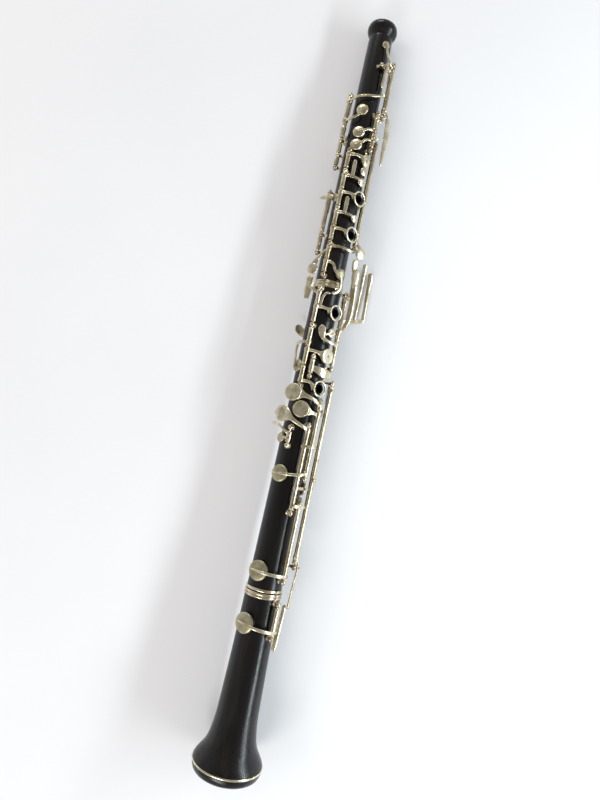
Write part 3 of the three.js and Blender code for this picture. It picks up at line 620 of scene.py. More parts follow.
def hollow_tube(bm, place, s0, s1, bore, outer, sides=TUBE_SIDES):
    """A tube with chamfered outside edges."""
    edge = 0.22
    profile = [(bore, s0), (outer - edge, s0), (outer, s0 + edge),
               (outer, s1 - edge), (outer - edge, s1), (bore, s1)]
    lathe(bm, profile, place, sides, closed=True)


def bead(bm, place, s0, s1, bore, outer, sides=TUBE_SIDES):
    """A ring with a rounded outside."""
    rise = []
    middle, half = (s0 + s1) / 2, (s1 - s0) / 2
    for i in range(9):
        angle = math.pi * i / 8
        swell = math.sin(angle) ** 0.7 if 0 < i < 8 else 0.0
        rise.append((outer - 0.45 + 0.45 * swell, middle - math.cos(angle) * half))
    lathe(bm, [(bore, s0), *rise, (bore, s1)], place, sides, closed=True)


def slotted_screw(bm, place, radius, height, slot=0.22):
    """A low screw head in two halves, standing on a disc, with the slot between them."""
    floor = height * 0.45
    rim = radius * 0.98
    lathe(bm, [(0, 0), (radius, 0), (radius, floor), (0, floor)], place, SCREW_SIDES)
    for side in (-1, 1):
        outline = []
        for i in range(9):
            angle = math.pi * i / 8
            outline.append((rim * math.cos(angle), side * (slot + (rim - slot) * math.sin(angle))))
        rings = []
        for scale, level in ((1.0, floor - 0.05), (1.0, height * 0.8), (0.82, height)):
            ring = []
            for x, y in outline:
                y_scale = 1 if abs(y) <= slot else scale
                ring.append(bm.verts.new(place @ Vector((x * scale, y * y_scale, level))))
            rings.append(ring)
        skin(bm, rings)
        bm.faces.new(rings[0])
        bm.faces.new(list(reversed(rings[-1])))


# ------------------------ the wooden body
def wood_radius(s):
    """The r of the wood's outside, taken straight between the points of its outline."""
    runs = UPPER_RUNS if s < UPPER_END else LOWER_RUNS if s < LOWER_END else BELL_RUNS
    for run in runs:
        for (s0, r0), (s1, r1) in zip(run, run[1:]):
            if s0 <= s <= s1 and s1 > s0:
                return r0 + (r1 - r0) * (s - s0) / (s1 - s0)
    return runs[-1][-1][1]


def fine_outline(runs):
    """Each run becomes a smooth curve; long steps are divided so that drilled holes shade cleanly."""
    outline = []
    for run in runs:
        smooth = curve_through(run) if len(run) > 2 else run
        outline.append(smooth[0])
        for (s0, r0), (s1, r1) in zip(smooth, smooth[1:]):
            parts = max(1, math.ceil(abs(s1 - s0) / LONGEST_STEP))
            for k in range(1, parts + 1):
                outline.append((s0 + (s1 - s0) * k / parts, r0 + (r1 - r0) * k / parts))
    return outline


def drills(holes):
    """One object holding a cylinder for every tone hole."""
    bm = bmesh.new()
    for s, turn, radius in holes:
        lathe(bm, [(0, 1), (radius, 1), (radius, 18), (0, 18)], standing(s, turn, 0), 32)
    return shown("drills", world_mesh("drills", bm))


def wooden_joint(name, runs, inside, holes):
    """A turned and bored section with its tone holes drilled out."""
    bm = bmesh.new()
    profile = [(r, s) for s, r in [*fine_outline(runs), *inside]]
    lathe(bm, profile, AXIS, WOOD_SIDES, closed=True)
    piece = add_piece(name + "_turned", bm, "body", "wood", [name], WOOD_CREASE)
    tool = drills(holes)
    cut = piece.modifiers.new("tone_holes", "BOOLEAN")
    cut.operation = "DIFFERENCE"
    cut.solver = "EXACT"
    cut.object = tool
    bpy.context.view_layer.update()
    evaluated = piece.evaluated_get(bpy.context.evaluated_depsgraph_get())
    drilled = bpy.data.meshes.new_from_object(evaluated)
    piece.modifiers.remove(cut)
    piece.data = drilled
    drilled.shade_smooth()
    drilled.set_sharp_from_angle(angle=math.radians(WOOD_CREASE))
    bpy.data.objects.remove(tool)


def add_wood():
    wooden_joint("upper_joint", UPPER_RUNS, UPPER_INSIDE, UPPER_HOLES)
    wooden_joint("lower_joint", LOWER_RUNS, LOWER_INSIDE, LOWER_HOLES)
    wooden_joint("bell", BELL_RUNS, BELL_INSIDE, BELL_HOLES)


def add_fittings():
    for name, beads, inner, outer in (
            ("upper_joint_ferrule", [(219.3, 220.6)], 10.0, 11.25),
            ("lower_socket_ferrule", [(221.0, 223.0), (223.1, 225.1)], 9.9, 11.5),
            ("lower_joint_ferrule", [(455.4, 457.6)], 12.4, 13.75),
            ("bell_socket_ferrule", [(458.3, 460.2), (460.4, 462.3)], 12.4, 14.0)):
        bm = bmesh.new()
        for s0, s1 in beads:
            bead(bm, AXIS, s0, s1, inner, outer, WOOD_SIDES)
        add_piece(name + "_beads", bm, "body", "metal", [name])
    bm = bmesh.new()
    bead(bm, AXIS, BELL_RING_S - 0.8, BELL_RING_S + 0.8, 24.8, BELL_RING_R, WOOD_SIDES)
    add_piece("bell_rim_band", bm, "body", "touch", ["bell_rim_ring"])
    bm = bmesh.new()
    hollow_tube(bm, AXIS, 1.4, REED_WELL_DEPTH - 0.3, 3.75, REED_WELL_R - 0.15, RING_SIDES)
    add_piece("reed_well_tube", bm, "body", "metal", ["reed_well_liner"])
    for name, shoulder, radius in (("upper_tenon_cork", UPPER_END, UPPER_TENON_R),
                                   ("lower_tenon_cork", LOWER_END, LOWER_TENON_R)):
        bm = bmesh.new()
        start, stop = shoulder + 4.2, shoulder + TENON_LENGTH - 2.2
        bead(bm, AXIS, start, stop, radius - 0.6, radius + 0.4, CORK_SIDES)
        add_piece(name + "_sleeve", bm, "body", "cork", [name])


def add_thumb_rest():
    base = wood_radius(THUMB_S)
    bm = bmesh.new()
    foot = [(0, -1.2), (4.2, -1.2), (4.2, 0.9), (3.9, 1.3), (0, 1.4)]
    lathe(bm, foot, standing(THUMB_S, THUMB_TURN, base), CUP_SIDES, stretch=2.1)
    hook = [(262, THUMB_TURN, base + 0.9, 9), (261, -133, 14.4, 9), (259, -128, 17.2, 9.4),
            (256.6, -122, 19.6, 9.4), (255.2, -117, 20.7, 8.6)]
    strap(bm, hook, 1.7)
    add_piece("thumb_hook", bm, "body", "cup", ["thumb_rest"])
    bm = bmesh.new()
    for s in (252.2, 264.6):
        slotted_screw(bm, standing(s, THUMB_TURN, base + 1.2), 1.2, 0.7)
    add_piece("thumb_hook_screws", bm, "body", "screw")


# ------------------------ rods and posts
def post(bm, s, turn, r):
    """A turned post: flange, waisted stem and ball head."""
    foot = wood_radius(s) - 0.3
    height = r - foot
    profile = [(0, 0), (STEM_R + 0.9, 0), (STEM_R + 0.9, 0.55), (STEM_R + 0.35, 0.95), (STEM_R, 1.35),
               (STEM_R * 0.92, max(1.5, height - 2.6)), (STEM_R + 0.2, height - 1.75)]
    for i in range(1, 9):
        angle = math.radians(-58 + 148 * i / 8)
        profile.append((POST_R * math.cos(angle), height + POST_R * math.sin(angle)))
    profile[-1] = (0, height + POST_R)
    lathe(bm, profile, standing(s, turn, foot), POST_SIDES)


def add_rods():
    """Every hinge line's rod and posts, its end screws and its needle spring."""
    for name, posts in POSTS.items():
        turn, r = LINES[name]
        place = along_line(turn, r)
        bm = bmesh.new()
        for s in posts:
            post(bm, s, turn, r)
        rod = [(0, posts[0]), (ROD_R, posts[0]), (ROD_R, posts[-1]), (0, posts[-1])]
        lathe(bm, rod, place, SCREW_SIDES)
        for s0, s1 in SLEEVES.get(name, []):
            hollow_tube(bm, place, s0, s1, TUBE_BORE_R, TUBE_R)
        add_piece(name + "_rod_and_posts", bm, "body", "steel", [name + "_rod"])
        bm = bmesh.new()
        for s, flip in ((posts[0] - POST_R + 0.25, math.pi), (posts[-1] + POST_R - 0.25, 0)):
            end = place @ Matrix.Translation((0, 0, s)) @ Matrix.Rotation(flip, 4, "X")
            slotted_screw(bm, end, 0.95, 0.65, 0.16)
        add_piece(name + "_rod_screws", bm, "body", "screw")
        bm = bmesh.new()
        start = posts[0]
        tip = start + min(16, (posts[1] - start) * 0.6)
        needle = along_line(turn, r - 2.35)
        lathe(bm, [(0, start), (0.3, start), (0.2, tip), (0, tip)], needle, 8)
        add_piece(name + "_needle_spring", bm, "body", "spring")


def cross_line():
    """Local Z runs across the body through the octave link's pin."""
    side = Vector((math.cos(math.radians(LINK_TURN)), 0, -math.sin(math.radians(LINK_TURN))))
    up = outward(LINK_TURN)
    basis = Matrix((up, side.cross(up), side)).transposed().to_4x4()
    return Matrix.Translation(at(LINK_S, LINK_TURN, LINK_R)) @ basis


def add_octave_link():
    pin = cross_line()
    bm = bmesh.new()
    reach = LINK_HALF + 1.6
    lathe(bm, [(0, -reach), (ROD_R, -reach), (ROD_R, reach), (0, reach)], pin, SCREW_SIDES)
    for side in (-LINK_HALF, LINK_HALF):
        profile = [(0, -4.4), (1.5, -4.4), (1.3, -3.4), (0.85, -2.6), (0.9, -1.4), (1.55, -0.7),
                   (1.75, 0), (1.55, 0.8), (0.9, 1.5), (0, 1.7)]
        base = pin @ Matrix.Translation((0, 0, side)) @ Matrix.Rotation(math.pi / 2, 4, "Y")
        lathe(bm, profile, base, POST_SIDES)
    add_piece("octave_link_pin_and_posts", bm, "body", "steel", ["octave_link_posts"])
    bm = bmesh.new()
    hollow_tube(bm, pin, -2.2, 2.2, TUBE_BORE_R, TUBE_R)
    lever = [(38.0, LINK_TURN, 14.3, 2.4), (41, LINK_TURN, 14.7, 3.4), (48, LINK_TURN, 14.1, 3.0),
             (55, 41, 13.4, 3.4), (58.4, 41, 13.2, 3.4)]
    strap(bm, lever, 1.1, round_start=True)
    add_piece("octave_link_rocker", bm, "octave_link_lever", "metal", ["octave_link_lever"])


# ------------------------ keys
class Key:
    """One key: a tube on its hinge line, with the arms, cups, rings and touches soldered to it."""

    def __init__(self, name, line, s0, s1):
        self.name = name
        self.turn, self.r = LINES[line]
        self.place = along_line(self.turn, self.r)
        self.parts = {}
        hollow_tube(self.part("metal"), self.place, s0, s1, TUBE_BORE_R, TUBE_R)
        for end in (s0, s1):
            inward = 1 if end == s0 else -1
            low, high = sorted((end, end + inward * 1.1))
            bead(self.part("metal"), self.place, low, high, TUBE_R - 0.3, TUBE_R + 0.32)

    def root(self, s, width):
        """The first station of an arm that is soldered to the tube."""
        return (s, self.turn, self.r, width)

    def part(self, look):
        """The mesh that gathers what this key has of one look."""
        if look not in self.parts:
            self.parts[look] = bmesh.new()
        return self.parts[look]

    def root_on_tube(self, stations):
        s, turn, r, _ = stations[0]
        return (at(s, turn, r) - at(s, self.turn, self.r)).length < 0.1

    def arm(self, stations, thickness=ARM, look="metal", round_start=False, round_end=True, facing=None):
        """An arm; one that starts on the hinge line gets a collar and stops short of the rod."""
        on_tube = self.root_on_tube(stations)
        if on_tube:
            s, _, _, width = stations[0]
            half = width * 0.55
            bead(self.part("metal"), self.place, s - half, s + half, TUBE_R - 0.3, TUBE_R + 0.45)
        trim = 1.3 if on_tube else 0.0
        strap(self.part(look), stations, thickness, trim, round_start, round_end, facing)

    def cup(self, s, turn, size, lift=CLOSED, dome=0.9, look="cup"):
        """A domed pad cup with its pad below, over the raised wooden seat of its tone hole."""
        base = standing(s, turn, wood_radius(s) + lift)
        wall = 1.9
        profile = [(0, 0.55), (size - 0.45, 0.55), (size - 0.4, 0.05), (size - 0.1, 0.0), (size, 0.2)]
        for i in range(9):
            angle = math.radians(90 * i / 8)
            radius = size * 0.86 * math.cos(angle) + size * 0.14 * (1 - i / 8)
            profile.append((radius, wall - 0.55 + (dome + 0.55) * math.sin(angle) ** 0.9))
        profile[-1] = (0, wall + dome)
        lathe(self.part(look), profile, base, CUP_SIDES)
        pad = size - 0.5
        belly = [(0, -PAD_DEPTH), (pad * 0.6, -PAD_DEPTH), (pad - 0.35, -PAD_DEPTH + 0.08),
                 (pad, -0.15), (pad, 0.5), (0, 0.5)]
        lathe(self.part("pad"), belly, base, CUP_SIDES)
        add_seat(self.name, s, turn, max(size - 1.3, size * 0.6), size * 0.5)

    def ring(self, s, turn, outer):
        """An open ring with a flattened, rounded section, level with the tube."""
        inner = outer - RING_WIDTH
        middle, half = (outer + inner) / 2, (outer - inner) / 2
        profile = []
        for i in range(16):
            angle = 2 * math.pi * i / 16
            x, y = math.cos(angle), math.sin(angle)
            across = half * math.copysign(abs(x) ** 0.75, x)
            profile.append((middle + across, 0.72 * math.copysign(abs(y) ** 0.8, y)))
        lathe(self.part("touch"), profile, standing(s, turn, self.r), RING_SIDES, closed=True)

    def plate(self, s, turn, r, size, stretch=1.0, thickness=1.5, hole=0, facing=None):
        """A slightly domed touch with a rounded edge; hole is the radius of a vent through it."""
        half = thickness / 2
        edge = []
        for i in range(7):
            angle = math.radians(-90 + 180 * i / 6)
            edge.append((size - half * 0.8 + half * 0.8 * math.cos(angle), half * math.sin(angle)))
        crown = [(size * 0.55, half + 0.16), (size * 0.25, half + 0.24)]
        top = half + (0.2 if hole else 0.26)
        profile = [(hole, -half), *edge, *crown, (hole, top)]
        lathe(self.part("touch"), profile, standing(s, turn, r, facing), CUP_SIDES, bool(hole), stretch)

    def under_pad(self, s, turn, r, size, depth):
        """A pad stuck under a plate."""
        top = -0.6
        bottom = top - depth
        profile = [(0, bottom), (size - 0.3, bottom), (size, bottom + 0.3), (size, top), (0, top)]
        lathe(self.part("pad"), profile, standing(s, turn, r), CUP_SIDES)

    def knob(self, s, turn, r, size):
        profile = []
        for i in range(9):
            angle = math.radians(-90 + 180 * i / 8)
            profile.append((size * math.cos(angle), size * math.sin(angle)))
        profile[0], profile[-1] = (0, -size), (0, size)
        lathe(self.part("touch"), profile, standing(s, turn, r), SCREW_SIDES)

    def screw(self, s, turn, r):
        """An adjusting screw with its shank through an arm."""
        place = standing(s, turn, r)
        slotted_screw(self.part("screw"), place, 0.8, 0.8, 0.14)
        lathe(self.part("screw"), [(0, -1.7), (0.5, -1.7), (0.5, 0.1), (0, 0.1)], place, 12)

    def done(self):
        """Adds the gathered meshes; the bright ones stand for the key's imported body."""
        for look, bm in self.parts.items():
            suffix = "metalwork" if look == "metal" else look
            stands_for = [self.name] if look in ("metal", "touch", "cup") else []
            add_piece(f"{self.name}_{suffix}", bm, self.name, look, stands_for)


def add_chimney(name, s, turn, top, outer, inner):
    """The raised wooden rim around a finger hole."""
    bm = bmesh.new()
    foot = wood_radius(s) - 2.6
    profile = [(inner, foot), (outer + 0.35, foot), (outer + 0.1, wood_radius(s) - 0.2),
               (outer, wood_radius(s) + 0.6), (outer, top - 0.3), (outer - 0.3, top),
               (inner + 0.35, top), (inner, top - 0.35)]
    lathe(bm, profile, standing(s, turn, 0), CUP_SIDES, closed=True)
    add_piece(f"{name}_chimney", bm, "body", "wood")


def add_seat(name, s, turn, outer, inner):
    """The rim of a tone hole, a little proud of the wood under its pad."""
    bm = bmesh.new()
    top = wood_radius(s) + 0.04
    profile = [(inner, top - 3.2), (outer + 0.3, top - 3.2), (outer + 0.1, top - 0.3),
               (outer - 0.2, top), (inner + 0.3, top), (inner, top - 0.2)]
    lathe(bm, profile, standing(s, turn, 0), CUP_SIDES, closed=True)
    seats = sum(1 for piece in bpy.data.objects if piece.name.startswith(name + "_seat"))
    add_piece(f"{name}_seat_{seats}", bm, "body", "wood")


def ring_key(name, line, s0, s1, arm_s, ring_s, ring_turn, outer, extra=None):
    """A key with an open ring around its finger hole, and an extra arm if one is given."""
    key = Key(name, line, s0, s1)
    r = key.r
    key.arm([key.root(arm_s, 2.7), (arm_s, 0, r + 0.1, 2.1), (arm_s + 0.2, ring_turn - 32, r, 2.1),
             (ring_s - 0.9, ring_turn - 26, r, 2.9), (ring_s - 0.3, ring_turn - 20.5, r - 0.05, 6.4)],
            1.3, "touch", round_end=False)
    key.ring(ring_s, ring_turn, outer)
    add_chimney(name, ring_s, ring_turn, r - 0.6, outer - 2.05, outer - 3.2)
    if extra:
        key.arm(extra, 1.2)
    key.done()


# ------------------------ the keys, from crown to bell
def upper_joint_keys():
    key = Key("side_octave_key", "side_octave", 36.8, 77.2)
    key.arm([key.root(38.5, 2.6), (35.6, 52, 14.3, 2.2), (31, 35, 13.4, 2), (23.5, 28, 12.4, 2),
             (20.6, 26, 12.2, 1.4)], 1.1)
    key.cup(22.2, 27, 3.1, CLOSED, 0.7)
    key.arm([key.root(73.5, 2.6), (77, 72, 18.2, 2.8), (80, 72, 19.4, 3)], 1.4)
    key.arm([(78.6, 72, 19, 2.8), (86, 71.5, 20.4, 4.4), (101, 68, 21.8, 5), (113, 65.2, 22, 3.6),
             (121, 64.3, 22, 0.8)], 1.3, "touch", round_start=True, facing=35)
    key.done()

    key = Key("thumb_octave_key", "thumb_octave", 68.8, 102.2)
    key.arm([key.root(71.5, 2.4), (69.6, -50, 13.6, 2), (68.5, 0, 12.9, 2), (66.8, 31, 13.2, 2),
             (63.4, 51, 14, 2)])
    key.knob(63.1, 53, 14.1, 1.4)
    key.arm([key.root(87.6, 2.6), (87.8, -45, 13.8, 2.2), (86.2, -20, 13.4, 2.2),
             (78.2, -13, 13.3, 1.4)])
    key.cup(79.8, -14, 4.6, look="touch")
    key.arm([key.root(95, 3), (96, -95, 14.4, 5), (97, -115, 14.2, 8.5), (97, -148, 13.9, 9),
             (97, -162, 13.8, 8)], 1.5, "touch")
    key.done()

    for name, s0, s1, arm_s, pad_s in (("upper_trill_key", 82.8, 96.2, 94.6, 98.6),
                                       ("lower_trill_key", 97, 109, 103.2, 109.2)):
        key = Key(name, "trill", s0, s1)
        key.arm([key.root(arm_s, 2.4), (arm_s + 0.2, 30, 13.9, 2), (arm_s + 1.2, 18, 13.8, 2),
                 (pad_s - 0.6, 6, 13.6, 2), (pad_s, -16, 13.5, 1)], 1.1)
        key.arm([key.root(s0 + 3, 2.4), (s0 + 3, 56, 15.2, 2.6)])
        key.knob(s0 + 3, 56, 15.2, 1.5)
        key.cup(pad_s, -9.3, 4.7, look="touch")
        key.done()

    key = Key("half_hole_key", "upper_main", 117.9, 130.1)
    key.arm([key.root(118.9, 2.8), (118.7, 0, 14.5, 2.2), (119.2, 14, 14.5, 2.6),
             (120.2, 27, 14.4, 5.4)], round_end=False)
    key.plate(121, 36, 14.4, 3.9, 1.28, 1.5, 0.7)
    key.under_pad(121, 36, 14.4, 3.4, 1)
    add_chimney("half_hole_key", 121, 36, 12.2, 2.8, 1.8)
    key.arm([(124, 36, 14.4, 3.4), (129, 36, 14.4, 3.4)], look="touch")
    key.plate(129.9, 36, 14.4, 3.1, 1.1)
    key.done()

    for name, s0, s1, arm_s, leaf_tip, pad_turn, size in (
            ("c_vent_key", 134.8, 147.4, 136.4, 123.2, 42.3, 3.4),
            ("a_vent_key", 161.8, 176.6, 166.2, 153.2, 43.6, 3.1)):
        key = Key(name, "upper_main", s0, s1)
        key.arm([key.root(arm_s, 2.6), (arm_s, 0, 14.3, 2.2), (arm_s + 0.7, 25, 14.3, 2),
                 (arm_s + 1.4, pad_turn + 9, 14.3, 1)], 1.1)
        key.arm([(arm_s, 1, 14.5, 2.4), (arm_s - 4, 1, 14.6, 3), (leaf_tip + 3, 1, 14.7, 3.2),
                 (leaf_tip, 1, 14.6, 2.6)], 1, "touch")
        key.cup(arm_s + 1.3, pad_turn, size, 1.35, 0.5, look="touch")
        key.screw(leaf_tip + 2.2, 1, 15.1)
        key.done()

    ring_key("second_finger_upper_key", "upper_main", 148.2, 161, 150, 151.7, FRONT, 6.1)
    ring_key("third_finger_upper_key", "upper_main", 177.4, 188.6, 179.4, 180.9, FRONT, 6.2)

    key = Key("b_flat_trill_key", "upper_main", 193.2, 203.6)
    key.arm([key.root(194.4, 2.4), (193.2, 0, 14.4, 2), (193.6, 30, 14.9, 2), (194, 54, 15.8, 2.6)])
    key.arm([key.root(197, 2.4), (198, -33, 15.2, 2.2), (203, -43, 17, 2.4), (208, -49, 18.5, 3.4),
             (212.8, -51.4, 19.1, 6)], 1.2, round_end=False, facing=-22)
    key.plate(213.8, -51.4, 19, 4.2, 1.1, 1.6, facing=-22)
    key.done()

    key = Key("bridge_key", "upper_main", 204.4, 214.4)
    key.arm([key.root(206, 2.4), (206.6, 1, 14.5, 2.1), (211.8, 7, 14.6, 2.1), (214.4, 20, 14.8, 2.1),
             (215.2, 31, 14.9, 2.2), (218, 37, 14.9, 2.2), (223.7, 38.5, 15.1, 2.2),
             (227.2, 34, 15.2, 2.2), (229.6, 22, 15.2, 2.1), (230.2, 13, 15.2, 2)], 1.4, "touch")
    key.cup(213.3, 32, 4, 1.6, 0.6)
    key.screw(209, 4, 15.2)
    key.done()

    key = Key("g_sharp_key", "g_sharp", 103.8, 187.2)
    key.arm([key.root(183, 2.6), (185.4, 79, 17.2, 2.4), (189.4, 74, 19.5, 4), (192.2, 71.7, 20, 6.4)],
            1.2, round_end=False, facing=30)
    key.plate(193.1, 71.7, 20, 4.2, 1.1, 1.5, facing=30)
    key.arm([key.root(150, 2.6), (150, 98, 14, 2.2), (150, 122, 14.1, 1.4)])
    key.cup(150, 116, 4.2)
    key.done()

    key = Key("left_trill_key", "left_trill", 152.2, 181.6)
    key.arm([(154.4, -79.5, 21.4, 1.6), (154.1, -74, 19.4, 3.6), (153.8, -66, 17, 4.6),
             (153.6, -58, 15.4, 4.2), (153.4, -48, 13.9, 3)], 1.1, "touch", round_start=True)
    key.cup(153.3, -50, 3.3, CLOSED, 0.6)
    key.done()


def lower_joint_keys():
    key = Key("leaf_touch_key", "lower_main", 229.4, 239.8)
    key.arm([key.root(231.6, 2.4), (230.6, -35, 16.8, 2.2), (228, -48, 18.4, 3.4)])
    key.arm([(218.9, -53.5, 18.5, 4.4), (221.4, -53.5, 18.6, 5.6), (227, -53.5, 18.7, 6.4),
             (233, -53.5, 18.6, 5.6), (237.6, -53.5, 18.5, 3.6)], 1.3, "touch", round_start=True,
            facing=-24)
    key.done()

    ring_key("first_finger_lower_key", "lower_main", 240.6, 254.2, 242.4, 243.8, FRONT, 6.2,
             [(242.2, -16, 15.1, 2.2), (241, -11, 15.3, 2), (234, -10, 15.4, 1.9),
              (231.2, -3, 15.4, 1.9), (230.6, 9, 15.3, 1.9)])

    key = Key("f_resonance_key", "lower_main", 259.2, 273.4)
    key.arm([key.root(270.5, 2.4), (270.5, -45, 15.9, 2.2), (271, -57, 16, 2.2), (277, -63, 15.9, 2.2),
             (283, -58, 15.6, 2.2), (290.5, -52, 15.9, 1.2)])
    key.cup(288.5, -53, 4.9, CLOSED, 1.1)
    key.done()

    key = Key("second_finger_lower_key", "lower_main", 274.2, 287.8)
    key.arm([key.root(276.3, 2.7), (276.3, -2, 15.1, 2.1), (276.7, 11, 15, 2.4), (277.1, 17, 15, 3.6),
             (277.6, 28, 15, 8.4)], 1.3, "touch", round_end=False)
    key.plate(277.8, 43.7, 15, 6, 1, 1.5, 0.9)
    key.under_pad(277.8, 43.7, 15, 5.4, 1.3)
    add_chimney("second_finger_lower_key", 277.8, 43.7, 12.5, 4.4, 3.2)
    key.done()

    key = Key("f_key", "f_key", 282.9, 293.2)
    key.arm([key.root(288.8, 3), (289.4, 10, 15.6, 4.2), (290.4, 24, 16, 6.4), (291, 38, 16.2, 7.2),
             (291.4, 52, 16.4, 6.8), (291.7, 64, 16.6, 5.2), (291.8, 74, 16.8, 3.4)], 1.5, "touch")
    key.done()

    key = Key("trill_leaf_key", "left_lever", 265.2, 283.4)
    key.arm([key.root(268.4, 2.4), (268, 64, 17.2, 2.2), (267.6, 48, 16.6, 2.1), (266.4, 24, 15.5, 2.1),
             (265, 14, 15.3, 3.2), (261.5, 9, 15.4, 5.6), (258, 7.5, 15.4, 5.8), (255.6, 7, 15.3, 4.6)],
            1.2, "touch")
    key.arm([(262.5, 12, 15.2, 1.8), (261, 30, 15, 1.8), (259, 53, 15, 1.2)], 1.1)
    key.cup(259.1, 49, 3.8, 1.3, 0.6, look="touch")
    key.done()

    key = Key("left_e_flat_lever", "left_lever", 229.2, 240.2)
    key.arm([key.root(232.4, 2.4), (229.8, 74, 18.7, 2.2), (224, 71, 18.9, 2.2), (212, 68, 18.5, 2.2),
             (206, 64, 18.6, 2.6)], 1.3)
    key.arm([(209, 65.6, 18.5, 2), (206, 64, 18.6, 4.2), (202.4, 62.8, 18.8, 6),
             (198.4, 62, 18.8, 4.4)], 1.3, "touch", round_start=True, facing=28)
    key.done()

    key = Key("low_b_lever", "left_lever", 241, 253.6)
    key.arm([key.root(247.4, 3), (245.4, 88, 21.6, 3.2), (242.4, 103, 29.5, 3.2),
             (239.4, 114.4, 36.6, 3.4)], 1.7)
    key.arm([(241.2, 113.7, 36, 3), (224, 114, 35.6, 3), (211, 114, 35.2, 3.6), (205.5, 113.5, 35, 5),
             (201.5, 113, 34.6, 4.8), (199.4, 113, 34.3, 3.6)], 1.5, round_start=True, facing=15)
    key.arm([(244.8, 97, 25.4, 2.4), (238, 94, 25.4, 2.4), (216, 92, 25.4, 2.4), (204, 87, 25.2, 3.2),
             (200.4, 84, 25, 3.6), (198.4, 83, 24.9, 2.6)], 1.5, "touch", round_start=True, facing=10)
    key.done()

    key = Key("low_b_flat_lever", "left_lever", 254.4, 264.4)
    key.arm([key.root(256.2, 2.6), (253.6, 71, 19.2, 2.8), (247, 67.5, 21.8, 3.8),
             (236, 65.5, 22.2, 4.2), (218, 62, 21.7, 3.6)], 1.4, facing=5)
    key.arm([(222, 63, 21.8, 3.8), (217.4, 61.5, 21.6, 5.4), (212.4, 60.8, 21.4, 6.8),
             (206.6, 60.6, 21.2, 5.2)], 1.5, "touch", round_start=True, facing=20)
    key.done()

    ring_key("third_finger_lower_key", "lower_main", 288.6, 301.2, 299.9, 303.2, 40, 6.3)


def little_finger_keys():
    key = Key("e_flat_key", "low_c", 315.8, 319.8)
    key.arm([key.root(317.4, 2.8), (314.8, 38, 17.9, 2.4), (312.6, 24, 18.4, 2.4),
             (311.4, 8, 18.7, 2.8), (310.8, -4, 18.8, 4.4), (310.4, -14, 18.7, 9.6),
             (310, -26, 18.5, 12.2)], 1.2, "touch", round_end=False)
    key.plate(310, -29.5, 19.1, 6.5, 1.02, 1.6, facing=-20)
    key.arm([key.root(318, 2.6), (318.6, 60, 16.4, 2.4), (320, 80, 15.9, 2.2), (322, 106, 16, 1.4)])
    key.cup(322, 102, 5.4)
    key.done()

    key = Key("low_c_key", "low_c", 320.6, 369.2)
    key.arm([key.root(323, 2.8), (322.6, 32, 17.6, 2.4), (322.2, 21, 18, 3.2), (321.8, 12, 18, 8.2),
             (321.4, 0, 17.8, 11.6)], 1.2, "touch", round_end=False)
    key.plate(321.4, -3.4, 18, 6.2, 1.02, 1.6)
    key.arm([key.root(367, 2.8), (368, 38, 18.9, 2.6), (369, 27, 19.4, 2.6), (369.8, 12, 18.6, 2.4),
             (370.5, -8, 17.5, 2.3), (370.8, -27, 17, 1.7), (370.9, -46, 16.4, 0.8)], 1.5, "touch")
    key.cup(370.7, -27, 6.4, OPEN, 0.6)
    key.done()

    key = Key("c_sharp_key", "c_sharp", 334.6, 395.4)
    key.arm([key.root(336, 2.8), (334.4, 15, 17.4, 2.6), (332.4, -3, 18.2, 2.6),
             (329.6, -20, 18.9, 3.2), (328.2, -30, 19.1, 8), (327, -42, 18.9, 11.4)], 1.2, "touch",
            round_end=False)
    key.plate(326.5, -46.7, 19.2, 6.2, 1.02, 1.6, facing=-28)
    key.arm([(347.7, 16, 16.6, 2.2), (347.7, 27, 17.6, 2.2), (347.6, 38, 19, 2.2),
             (347.6, 47, 19.8, 2.2), (347.2, 55, 19.6, 2.2)], round_start=True)
    key.arm([key.root(379, 2.6), (379, 40, 15.8, 2.4), (379, 72, 15.7, 2.4), (379, 108, 16.2, 1.4)])
    key.cup(379, 104, 5.6)
    key.done()

    key = Key("side_f_key", "side_f", 339.2, 347.2)
    key.arm([key.root(340.8, 2.4), (339.4, -34, 17, 2.2), (335.8, -48, 18.4, 2.2),
             (334.8, -68, 19.6, 2.4), (334.8, -80, 20.3, 1.8)])
    key.arm([key.root(344.2, 2.4), (344.3, -36, 15.9, 2), (344.4, -56, 16.6, 1.2)])
    key.cup(344.5, -53, 3.8, 1.4, 0.7)
    key.done()


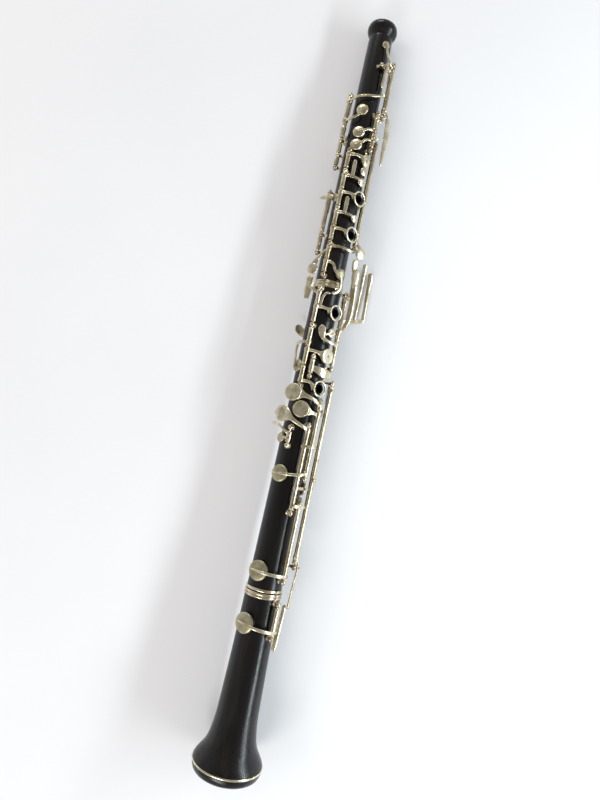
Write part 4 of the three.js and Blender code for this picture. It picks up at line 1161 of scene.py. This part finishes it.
def bell_end_keys():
    key = Key("low_b_key", "low_b", 389.9, 445.4)
    key.arm([(392, 24, 19.9, 2.2), (392, 36, 19.9, 2.6), (392, 47, 19.3, 2.6), (392, 60, 19.3, 2.2)],
            1.6, "touch", round_start=True)
    key.arm([(443.8, 58, 17.8, 2.4), (443.8, 47, 18, 2.8), (443.6, 30, 18.4, 2.6),
             (443.2, 5, 18.5, 2.4), (442.8, -15, 18.2, 2.3), (442.6, -28, 17.8, 1.7),
             (442.4, -48, 17.2, 0.8)], 1.5, "touch", round_start=True)
    key.cup(442.7, -27, 7.4, OPEN, 0.6)
    key.done()

    key = Key("low_b_flat_key", "low_b_flat", 466.4, 486.4)
    key.arm([(484.2, 57, 18.2, 2.4), (484.2, 44.6, 18.6, 2.8), (483.6, 25, 19.1, 2.6),
             (482.4, 0, 19.2, 2.4), (481.4, -20, 18.9, 2.3), (480.9, -33, 18.5, 1.7),
             (480.5, -53, 17.8, 0.8)], 1.5, "touch", round_start=True)
    key.cup(480.9, -33, 7.5, OPEN, 0.6)
    key.arm([(463.6, 61, 19.6, 2.4), (472, 61, 19.4, 3), (484.2, 60, 18.8, 3.4), (493, 60, 18.5, 3.4),
             (498.5, 61, 17.8, 2.8)], 1.5, round_start=True, facing=14)
    key.done()

    key = Key("low_b_flat_link", "link", 299.4, 434)
    key.arm([(302, 66, 21.2, 2.2), (302, 72, 21.3, 2.6), (302, 79, 20.6, 2.2)], 1.8, round_start=True)
    key.arm([(371, 67, 20.8, 3), (371, 72, 21.3, 3.4), (371, 78, 20.8, 3)], 1.8, round_start=True)
    key.arm([key.root(429, 2.4), (433.4, 72, 22, 2.4), (438, 72, 22.2, 2.6), (446, 68, 22.2, 2.6),
             (456, 63.5, 22.4, 2.6), (466, 62, 22.4, 2.8)], 1.4)
    key.screw(436, 72, 22.9)
    key.done()


# ------------------------ the floor
def add_floor():
    bm = bmesh.new()
    bmesh.ops.create_grid(bm, x_segments=8, y_segments=8, size=FLOOR_HALF)
    mesh = bpy.data.meshes.new("floor")
    bm.to_mesh(mesh)
    bm.free()
    mesh.materials.append(table_cloth())
    floor = shown("floor", mesh)
    floor.location.z = -FLOOR_DROP


# ------------------------ the scene
add_camera()
add_lights()
add_floor()
add_wood()
add_fittings()
add_thumb_rest()
add_rods()
add_octave_link()
upper_joint_keys()
lower_joint_keys()
little_finger_keys()
bell_end_keys()

bpy.context.view_layer.update()
